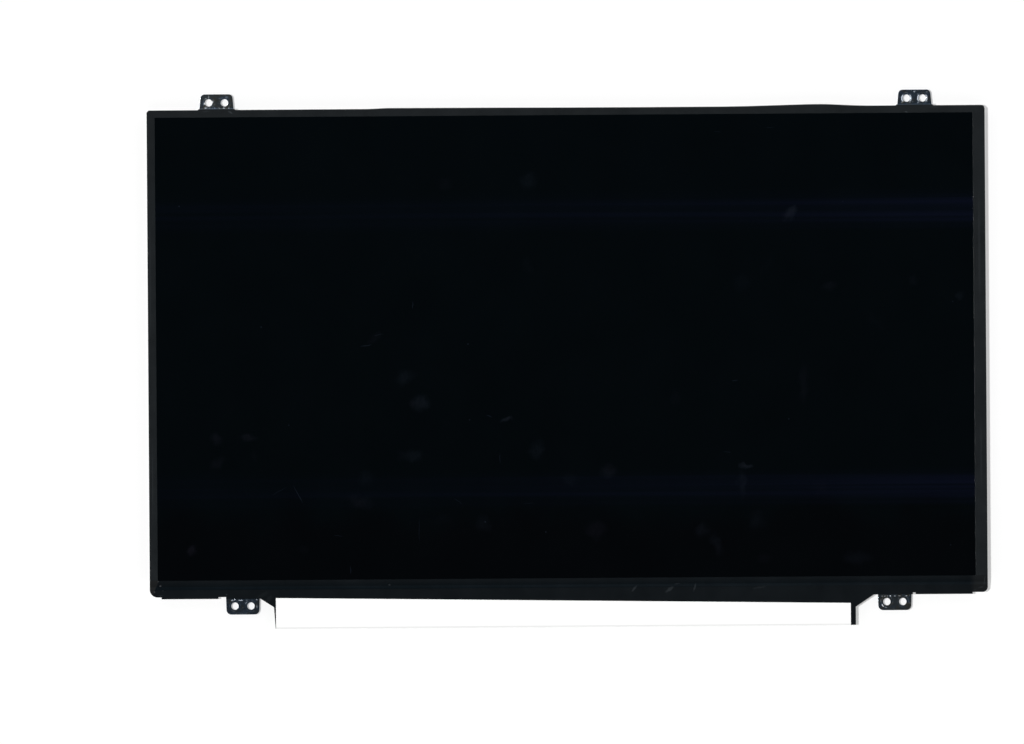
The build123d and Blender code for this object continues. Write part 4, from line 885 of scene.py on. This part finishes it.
class SCREENPANEL_OT_backlight(Step, bpy.types.Operator):
    """Finish the light guide, its films, the lamps and their flex strip"""

    bl_idname = "screen_panel.backlight"
    bl_label = "Backlight"

    def build(self, scene):
        look = scene.board_look
        inside = scene.inside_look
        sheet = Finish("clear_sheet")
        dots = sheet.fade(sheet.cells(1.6, 0.35), 0.34, 0.24)
        sheet.paint(
            sheet.mix(dots, inside.sheet, inside.dots),
            0.12 + 0.35 * dots,
            more={"Transmission Weight": 0.6},
        )
        sheet.bump(dots, 0.01)
        dress(sheet, "light_guide", "diffuser_film", "lower_prism_film", "upper_prism_film")
        lamp = Finish("lamp_mould")
        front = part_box("led_packages")[1].y / MM
        window = lamp.fade(lamp.y, front - 0.2, front - 0.1)
        speckle = lamp.noise(6.0)
        body = lamp.mix(window, inside.lamp, inside.window)
        lamp.grained(body, speckle, (0.92, 0.12), (0.42, 0.12))
        dress(lamp, "led_packages")
        strip = Finish("lamp_flex")
        lines = strip.fade(abs(strip.noise(0.9, 0.0, (0.02, 1, 1)) - 0.5), 0.10, 0.06)
        weave = strip.noise(5.0)
        strip.grained(strip.mix(lines, look.amber, look.copper), weave, (0.85, 0.25), (0.38, 0.1))
        strip.bump(lines, 0.01)
        dress(strip, "led_flex")


class SCREENPANEL_OT_cell(Step, bpy.types.Operator):
    """Finish the cell's glasses, rear film, driver chips and flexes"""

    bl_idname = "screen_panel.cell"
    bl_label = "Cell"

    def build(self, scene):
        look = scene.board_look
        inside = scene.inside_look
        glass = Finish("cell_glass")
        wave = glass.node("ShaderNodeTexWave", None, {"Vector": glass.place, "Scale": 3.0})
        pixels = glass.fade(abs(wave - 0.5), 0.3, 0.5)
        glass.paint(
            glass.mix(pixels, inside.glass, inside.pixels),
            0.05 + 0.05 * glass.noise(0.4),
            more={"Transmission Weight": 0.85, "IOR": 1.52},
        )
        dress(glass, "array_glass", "filter_glass")
        dark = Finish("dark_film")
        haze = dark.noise(0.06, 3.0)
        dark.grained(inside.polarizer, haze, (0.7, 0.6), (0.12, 0.12))
        dress(dark, "rear_polarizer")
        silicon = Finish("chip_silicon")
        ground = silicon.noise(3.0, 3.0, (0.06, 1, 1))
        silicon.paint(silicon.mix(ground, inside.silicon, inside.ground), 0.18 + 0.2 * ground, 0.6)
        silicon.bump(ground, 0.002)
        dress(silicon, "driver_chips")
        flex = Finish("board_flex")
        lines = flex.fade(flex.zigzag(flex.x, FLEX_HALF), 0.05, 0.09)
        weave = flex.noise(6.0)
        flex.grained(flex.mix(lines, look.amber, look.copper), weave, (0.85, 0.25), (0.32, 0.12), 0.5 * lines)
        flex.bump(lines, 0.012)
        dress(flex, "board_flex_left", "board_flex_middle", "board_flex_right")


class SCREENPANEL_OT_board(Step, bpy.types.Operator):
    """Finish the control board, its chips, coils and diodes"""

    bl_idname = "screen_panel.board"
    bl_label = "Control Board"

    def build(self, scene):
        look = scene.board_look
        metal = scene.metal_look
        board = Finish("board_laminate")
        low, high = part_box("control_board")
        bends = board.node("ShaderNodeClamp", None, {0: board.zigzag(board.x, BEND_HALF), **BEND_SHIFT})
        routed = board.cells(0.2, 0.6, "Color", (0.4, 1, 1), metric="CHEBYCHEV")
        gap = board.fade(board.zigzag(board.y + bends, TRACE_HALF), 0.07, 0.03)
        gap = gap * (board.part(routed, "X") > 0.4)
        dot = board.cells(0.6, 0.9)
        drilled = board.part(board.cells(0.6, 0.9, "Color"), "Y") > 0.45
        via = board.fade(dot, 0.13, 0.10) * drilled
        # Painted shade in the drilled holes
        drill_hole_shade = board.fade(dot, 0.06, 0.04) * drilled
        weave = board.noise(2.5)
        pads = high.y / MM - BONDING_DEPTH
        bonding = board.fade(board.y, pads, pads + 0.2) * (board.z > high.z / MM - 0.02)
        framed = [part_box(node) for node in (*MARKED_CHIPS, "memory_chip")]
        framed += [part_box("light_socket"), *solid_boxes("boost_coils"), *solid_boxes("power_diodes")]
        printed = 0.0
        for box in framed:
            printed = board.outline(*box, PRINT_CLEAR, PRINT_LINE) | printed
        printed = printed * (board.z < low.z / MM + 0.02)
        body = board.mix(gap, look.trace, look.mask)
        body = board.mix(printed, body, look.ink)
        body = board.mix(via | bonding, body, metal.gold)
        body = board.mix(drill_hole_shade, body, look.drill_hole_shade)
        board.paint(
            board.shade(body, 0.85 + 0.3 * weave),
            0.34 + 0.1 * weave + 0.2 * printed,
            0.9 * (via | bonding),
            more={"Coat Weight": 0.3 * (1 - (via | bonding | printed))},
        )
        board.bump(1.5 * via + 0.5 * printed - gap - 2 * drill_hole_shade, 0.02)
        dress(board, "control_board")
        mould = Finish("chip_mould")
        grain = mould.noise(9.0)
        flow = mould.noise(0.5)
        memory_low, memory_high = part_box("memory_chip")
        middle = (memory_low + memory_high) / 2 / MM
        beside = abs(mould.y - middle.y) > MEMORY_BODY_HALF
        leads = (abs(mould.x - middle.x) < LEAD_ROW_HALF) * beside
        dots = []
        for node in MARKED_CHIPS:
            low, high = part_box(node)
            corner = (low.x / MM + FIRST_PIN_INSET, high.y / MM - FIRST_PIN_INSET)
            dots.append((*corner, FIRST_PIN_WIDTH, FIRST_PIN_WIDTH, 0, 1.0))
        first_pin = mould.marks(dots, mould.place, 0.35)
        body = mould.shade(look.mould, 0.75 + 0.35 * grain + 0.2 * flow + 0.8 * first_pin)
        mould.paint(
            mould.mix(leads, body, metal.solder),
            0.55 + 0.15 * grain - 0.2 * leads - 0.15 * first_pin,
            leads,
        )
        mould.bump(grain - 4 * first_pin, 0.01)
        dress(mould, *MARKED_CHIPS, "memory_chip", "power_diodes")
        ferrite = Finish("coil_ferrite")
        pressed = ferrite.noise(4.0, 3.0)
        ferrite.paint(ferrite.mix(pressed, look.ferrite, look.pressed), 0.6 + 0.2 * pressed)
        ferrite.bump(pressed, 0.02)
        fit_eased("boost_coils", "boost_coils_eased", look.coil_easing, ferrite)


class SCREENPANEL_OT_small_parts(Step, bpy.types.Operator):
    """Finish the capacitors and resistors and fit a metal end to each end of every one"""

    bl_idname = "screen_panel.small_parts"
    bl_label = "Small Parts"

    def metal_ends(self, node, name, look, finish):
        """Model one metal end of a small part with its solder, and copy it to both ends of each part."""
        boxes = solid_boxes(node)
        size = boxes[0][1] - boxes[0][0]
        proud = look.end_proud
        half = look.end_length / 2
        board = (size.z + proud) / 2
        bpy.ops.object.select_all(action="DESELECT")
        bpy.ops.mesh.primitive_cube_add(size=1.0, location=(0, 0, 0))
        pattern = bpy.context.view_layer.objects.active
        bpy.ops.object.mode_set(mode="EDIT")
        bpy.ops.mesh.select_all(action="SELECT")
        bpy.ops.transform.resize(value=(size.x + 2 * proud, 2 * half, 2 * board))
        bpy.ops.mesh.bevel(offset=END_BEVEL, segments=1, affect="EDGES")
        bpy.ops.mesh.select_all(action="SELECT")
        bpy.ops.mesh.bisect(plane_co=(0, 0, 0), plane_no=(0, 0, 1))
        select_faces(pattern, lambda face: face.normal.y > 0.99 and face.center.z > 0)
        for run, rise in SOLDER_STEPS:
            bpy.ops.mesh.extrude_region_move(TRANSFORM_OT_translate={"value": (0, run * look.solder, 0)})
            bpy.ops.transform.resize(value=(1, 1, rise), center_override=(0, 0, board))
        bpy.ops.object.mode_set(mode="OBJECT")
        bpy.ops.object.shade_smooth_by_angle(angle=SMOOTH_ANGLE)
        places = []
        for low, high in boxes:
            middle = (low + high) / 2
            height = middle.z - proud / 2
            places.append((Vector((middle.x, high.y + proud - half, height)), 0.0))
            places.append((Vector((middle.x, low.y - proud + half, height)), math.pi))
        ends = copies_of(pattern, places)
        ends.name = name
        add_piece(ends, finish, "shell_steel")

    def build(self, scene):
        look = scene.board_look
        metal = scene.metal_look
        solder = Finish("solder_end")
        dull = solder.noise(5.0, 3.0)
        solder.grained(metal.solder, dull, (0.75, 0.35), (0.28, 0.25), 1.0)
        solder.bump(dull, 0.02)
        ceramic = Finish("capacitor_ceramic")
        fired = ceramic.noise(5.0, 3.0)
        tone = ceramic.noise(0.35, 1.0)
        ceramic.paint(ceramic.shade(look.ceramic, 0.7 + 0.35 * fired + 0.3 * tone), 0.5 + 0.2 * fired)
        ceramic.bump(fired, 0.008)
        dress(ceramic, "capacitors")
        glaze = Finish("resistor_film")
        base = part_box("resistors")[0].z / MM
        side = glaze.fade(glaze.z, base + 0.03, base + 0.09)
        speck = glaze.noise(6.0)
        body = glaze.mix(side, look.glaze, look.chalk)
        glaze.paint(glaze.shade(body, 0.85 + 0.3 * speck), 0.3 + 0.2 * speck + 0.25 * side)
        dress(glaze, "resistors")
        self.metal_ends("capacitors", "capacitor_ends", look, solder)
        self.metal_ends("resistors", "resistor_ends", look, solder)


class SCREENPANEL_OT_sockets(Step, bpy.types.Operator):
    """Ease and finish the video and backlight sockets, the shell and its contacts"""

    bl_idname = "screen_panel.sockets"
    bl_label = "Sockets"

    def build(self, scene):
        look = scene.board_look
        metal = scene.metal_look
        plastic = Finish("socket_plastic")
        grain = plastic.noise(6.0)
        flow = plastic.noise(0.3)
        plastic.paint(plastic.shade(look.socket, 0.82 + 0.14 * flow + 0.12 * grain), 0.45 + 0.15 * grain)
        plastic.bump(grain, 0.006)
        for node in ("video_socket_body", "light_socket"):
            fit_eased(node, f"{node}_eased", look.socket_easing, plastic)
        steel = Finish("shell_steel")
        brushed = steel.noise(3.0, 3.0, (0.05, 1, 1))
        steel.grained(metal.shell, brushed, (0.82, 0.25), (0.22, 0.2), 1.0)
        steel.bump(brushed, 0.004)
        fit_eased("video_socket_shell", "video_socket_shell_eased", look.shell_easing, steel)
        gold = Finish("contact_gold")
        plated = gold.noise(8.0)
        gold.grained(metal.gold, plated, (0.85, 0.25), (0.2, 0.2), 1.0)
        dress(gold, "video_socket_contacts")


class SCREENPANEL_OT_foils(Step, bpy.types.Operator):
    """Finish the two ground foils as crinkled metal"""

    bl_idname = "screen_panel.foils"
    bl_label = "Ground Foils"

    def build(self, scene):
        foil = Finish("ground_foil")
        crinkle = foil.cells(0.8, feature="DISTANCE_TO_EDGE")
        fine = foil.noise(2.5, 3.0)
        foil.grained(scene.metal_look.foil, fine, (0.8, 0.25), (0.22, 0.2), 1.0)
        foil.bump(crinkle + 0.4 * fine, 0.12)
        dress(foil, "ground_foil_left", "ground_foil_right")


class SCREENPANEL_OT_stage(Step, bpy.types.Operator):
    """Set the white floor, the soft light and the camera that looks straight down"""

    bl_idname = "screen_panel.stage"
    bl_label = "Stage"

    def floor(self, look):
        """Lay a white floor that keeps the panel's shadow."""
        bpy.ops.object.select_all(action="DESELECT")
        bpy.ops.mesh.primitive_plane_add(size=look.floor_size, location=(0, 0, -FLOOR_DROP))
        floor = bpy.context.view_layer.objects.active
        floor.name = "floor"
        bpy.ops.object.transform_apply(location=True)
        material = bpy.data.materials.new("white_floor")
        material.use_nodes = True
        tree = NodeTree(material.node_tree)
        rays = 0.0
        for kind in ("Camera", "Glossy", "Transmission"):
            rays = tree.node("ShaderNodeLightPath", output=f"Is {kind} Ray") | rays
        matt = tree.node("ShaderNodeBsdfDiffuse", None, {"Color": look.floor})
        white = tree.node("ShaderNodeEmission", None, {"Color": (1, 1, 1), "Strength": 1.0})
        surface = tree.node("ShaderNodeMixShader", None, {0: rays * look.glow, 1: matt, 2: white})
        tree.node("ShaderNodeOutputMaterial", None, {"Surface": surface})
        floor.data.materials.append(material)

    def light(self, look):
        """Light the panel from the left, with a soft sky that is dark overhead."""
        lamp = bpy.data.lights.new("left_lamp", "SUN")
        lamp.energy = look.lamp
        lamp.angle = look.spread
        holder = add_object("left_lamp", lamp)
        holder.rotation_euler = (0, -look.slant, 0)
        world = bpy.data.worlds.new("soft_sky")
        world.use_nodes = True
        bpy.context.scene.world = world
        tree = NodeTree(world.node_tree)
        direction = tree.node("ShaderNodeTexCoord", output="Generated")
        height = tree.node("ShaderNodeSeparateXYZ", None, {0: direction}, output="Z")
        ring = tree.fade(height, *SKY_RING)
        strength = look.zenith + (look.sky - look.zenith) * ring
        sky = tree.node("ShaderNodeBackground", None, {"Color": (1, 1, 1), "Strength": strength})
        tree.node("ShaderNodeOutputWorld", None, {"Surface": sky})

    def camera(self, look):
        """Look straight down, as a flatbed scanner does."""
        data = bpy.data.cameras.new("scan_camera")
        data.type = "ORTHO"
        data.ortho_scale = look.width
        holder = add_object("scan_camera", data)
        holder.location = look.shift
        holder.rotation_euler = (0, 0, look.turn)
        bpy.context.scene.camera = holder

    def build(self, scene):
        look = scene.stage_look
        self.floor(look)
        self.light(look)
        self.camera(look)
        scene.view_settings.view_transform = "Standard"


OPERATORS = (
    SCREENPANEL_OT_screen,
    SCREENPANEL_OT_edge_tapes,
    SCREENPANEL_OT_foot_tapes,
    SCREENPANEL_OT_white_sheets,
    SCREENPANEL_OT_tabs,
    SCREENPANEL_OT_cover,
    SCREENPANEL_OT_backlight,
    SCREENPANEL_OT_cell,
    SCREENPANEL_OT_board,
    SCREENPANEL_OT_small_parts,
    SCREENPANEL_OT_sockets,
    SCREENPANEL_OT_foils,
    SCREENPANEL_OT_stage,
)

LOOKS = {
    "screen_look": ScreenLook,
    "tape_look": TapeLook,
    "metal_look": MetalLook,
    "inside_look": InsideLook,
    "board_look": BoardLook,
    "stage_look": StageLook,
}


class SCREENPANEL_PT_sidebar(bpy.types.Panel):
    """List the panel's pieces and their settings in the sidebar"""

    bl_idname = "SCREENPANEL_PT_sidebar"
    bl_label = "Screen Panel"
    bl_space_type = "VIEW_3D"
    bl_region_type = "UI"
    bl_category = "Screen Panel"

    def draw(self, context):
        for operator in OPERATORS:
            self.layout.operator(operator.bl_idname)
        for look, group in LOOKS.items():
            box = self.layout.box()
            box.label(text=group.__doc__.rstrip("."))
            for name in group.__annotations__:
                box.prop(getattr(context.scene, look), name)


def register():
    """Register the settings, the operators and the sidebar."""
    for look, group in LOOKS.items():
        bpy.utils.register_class(group)
        setattr(bpy.types.Scene, look, PointerProperty(type=group))
    for entry in (*OPERATORS, SCREENPANEL_PT_sidebar):
        bpy.utils.register_class(entry)


def unregister():
    """Take the settings, the operators and the sidebar away again."""
    for entry in (SCREENPANEL_PT_sidebar, *reversed(OPERATORS)):
        bpy.utils.unregister_class(entry)
    for look, group in LOOKS.items():
        delattr(bpy.types.Scene, look)
        bpy.utils.unregister_class(group)


def main():
    """Dress the panel piece by piece."""
    register()
    for operator in OPERATORS:
        group, name = operator.bl_idname.split(".")
        getattr(getattr(bpy.ops, group), name)()


if __name__ == "__main__":
    main()
